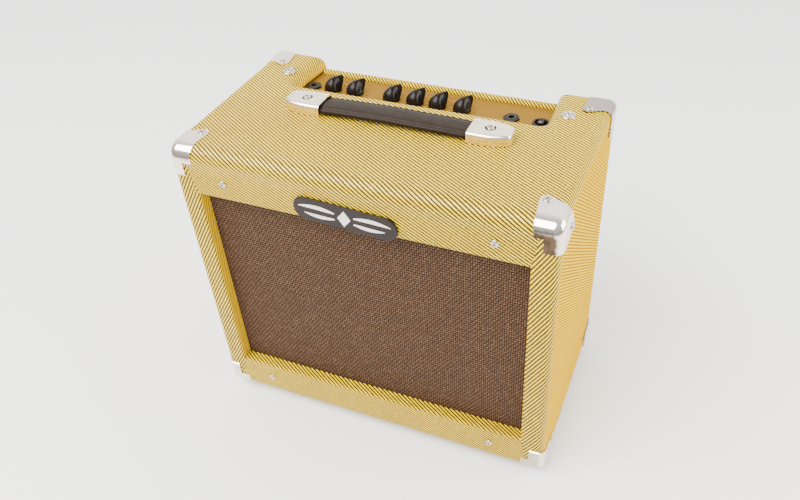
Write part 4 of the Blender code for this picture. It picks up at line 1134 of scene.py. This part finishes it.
def power_switch():
    lo, hi = cab_box("power_switch_body")
    x, y = (lo[0] + hi[0]) / 2, (lo[1] + hi[1]) / 2
    prof = [(7.0, 0.05), (8.5, 0.05), (8.75, 0.3), (8.75, 0.7), (8.55, 1.1), (8.1, 1.4), (7.5, 1.5), (6.9, 1.35), (6.55, 0.9), (6.45, 0.2), (6.4, -5.0), (7.0, -5.0)]
    bezel = to_object("switch_bezel", turned(prof, "Z", (x, y, PANEL_Z), 64))
    finish(bezel, M["jack"], angle=50)
    px, py, pz = joint_place("power_switch")
    rocker = [(-4.4, 1.0), (-4.6, 2.6), (-4.55, 3.4), (-4.1, 3.65), (-3.0, 3.5), (-1.5, 3.25), (0.0, 3.1), (1.4, 3.1), (2.6, 3.2), (3.7, 3.35), (4.25, 3.2), (4.45, 2.6), (4.4, 1.0), (3.6, -1.4), (1.5, -3.0), (-1.5, -3.0), (-3.6, -1.4)]
    obj = to_object("rocker_cap", prism([(py + a, pz + b) for a, b in rocker], "X", px - 3.0, px + 3.0))
    finish(obj, M["lens"], body="power_rocker", replaces=("power_rocker",), bevel=0.4, segments=3)
    # Painted highlight: a thin white bar on the rocker's top stands in for the glint along its dome.
    bar = [(px - 0.32, py - 3.7, pz + 3.62), (px + 0.32, py - 3.7, pz + 3.62), (px + 0.32, py - 1.4, pz + 3.24), (px - 0.32, py - 1.4, pz + 3.24)]
    bm = loft(bmesh.new(), [[(a, b, c) for a, b, c in bar], [(a, b, c + 0.12) for a, b, c in bar]])
    painted_glint = to_object("rocker_painted_glint", bm)
    finish(painted_glint, M["white"], body="power_rocker", weighted=False)


def feet():
    for end in ("front", "rear"):
        for side in ("left", "right"):
            lo, hi = cab_box(f"foot_{end}_{side}")
            x, y = (lo[0] + hi[0]) / 2, (lo[1] + hi[1]) / 2
            prof = [(0, -4.0), (4.2, -4.0), (4.6, -9.4), (5.2, -10.0), (8.6, -10.0), (9.6, -9.7), (10.4, -9.0), (11.2, -6.5), (12.2, -1.4), (12.5, -0.3), (0, -0.3)]
            obj = to_object(f"rubber_foot_{end}_{side}", turned(prof, "Z", (x, y, 0), 48))
            finish(obj, M["rubber"], replaces=(f"foot_{end}_{side}",), angle=45)


def carried_over():
    """CAD nodes whose shape stays get a finished material."""
    use = {
        "grille_cloth": "grille", "baffle_board": "inner", "chassis_tray": "zinc", "inlet_plate": "zinc", "control_panel": "gold", "control_board": "board",
        "power_transformer": "iron", "input_jack": "jack", "output_jack": "jack", "power_switch_body": "jack", "mains_inlet": "jack", "speaker_frame": "frame",
        "speaker_rim": "frame", "speaker_magnet": "magnet", "speaker_cone": "cone", "speaker_dust_cap": "cone", "speaker_surround": "cone", "speaker_gasket": "card",
    }
    for node, key in use.items():
        o = frame["nodes"].get(node)
        if o is None:
            continue
        o.data.materials.clear()
        o.data.materials.append(M[key])


# ------------------------------------------------------------------ camera, floor and light
def camera():
    cam = bpy.data.cameras.new("camera")
    obj = bpy.data.objects.new("camera", cam)
    bpy.context.scene.collection.objects.link(obj)
    obj.rotation_mode = "QUATERNION"
    obj.location = (0.28123, -0.58338, 0.71942)
    obj.rotation_quaternion = Quaternion((0.8881899, 0.4173576, 0.1015425, 0.163158))
    cam.sensor_width = 36.0
    cam.lens = 34.896
    cam.shift_x = -0.02799
    cam.shift_y = -0.01508
    cam.clip_start = 0.01
    bpy.context.scene.camera = obj


def stage():
    bm = bmesh.new()
    bmesh.ops.create_grid(bm, x_segments=2, y_segments=2, size=6.0)
    mesh = bpy.data.meshes.new("floor")
    bm.to_mesh(mesh)
    bm.free()
    floor = bpy.data.objects.new("floor", mesh)
    bpy.context.scene.collection.objects.link(floor)
    g = Mat("floor_pale")
    g.set(color=(0.93, 0.93, 0.93), rough=g.remap(g.noise(3.0), 0.3, 0.7, 0.75, 0.85))
    mesh.materials.append(g.m)

    world = bpy.data.worlds.new("studio")
    bpy.context.scene.world = world
    world.use_nodes = True
    t = world.node_tree
    bg = t.nodes["Background"]
    tc = t.nodes.new("ShaderNodeTexCoord")
    sep = t.nodes.new("ShaderNodeSeparateXYZ")
    ramp = t.nodes.new("ShaderNodeMapRange")
    ramp.inputs[1].default_value, ramp.inputs[2].default_value = -0.1, 0.75
    ramp.inputs[3].default_value, ramp.inputs[4].default_value = 0.45, 1.15
    rear = t.nodes.new("ShaderNodeMapRange")
    rear.interpolation_type = "SMOOTHSTEP"
    rear.inputs[1].default_value, rear.inputs[2].default_value = -0.2, 0.7
    rear.inputs[3].default_value, rear.inputs[4].default_value = 0.0, 1.8
    total = t.nodes.new("ShaderNodeMath")
    total.operation = "ADD"
    t.links.new(tc.outputs["Generated"], sep.inputs[0])
    t.links.new(sep.outputs[2], ramp.inputs[0])
    t.links.new(sep.outputs[1], rear.inputs[0])
    t.links.new(ramp.outputs[0], total.inputs[0])
    t.links.new(rear.outputs[0], total.inputs[1])
    t.links.new(total.outputs[0], bg.inputs["Strength"])
    bg.inputs["Color"].default_value = (1.0, 1.0, 1.0, 1.0)

    def area(name, loc, aim, size, energy, color=(1, 1, 1), shape="RECTANGLE", size_y=None):
        light = bpy.data.lights.new(name, "AREA")
        light.energy, light.size, light.shape, light.color = energy, size, shape, color
        light.size_y = size_y or size
        o = bpy.data.objects.new(name, light)
        bpy.context.scene.collection.objects.link(o)
        o.location = loc
        o.rotation_mode = "QUATERNION"
        o.rotation_quaternion = (Vector(aim) - Vector(loc)).to_track_quat("-Z", "Y")
        return o

    area("key", (-0.75, -1.1, 1.95), (0, 0, 0.2), 2.2, 158.0, color=(1.0, 0.98, 0.95), size_y=1.4)
    area("side", (1.8, 0.1, 1.0), (0, 0, 0.2), 1.2, 50.0, color=(1.0, 0.97, 0.92))


def main():
    cabinet()
    back_panels()
    corners()
    screws()
    handle()
    name_plate()
    knobs()
    panel_print()
    jacks()
    power_switch()
    feet()
    carried_over()
    camera()
    stage()


main()
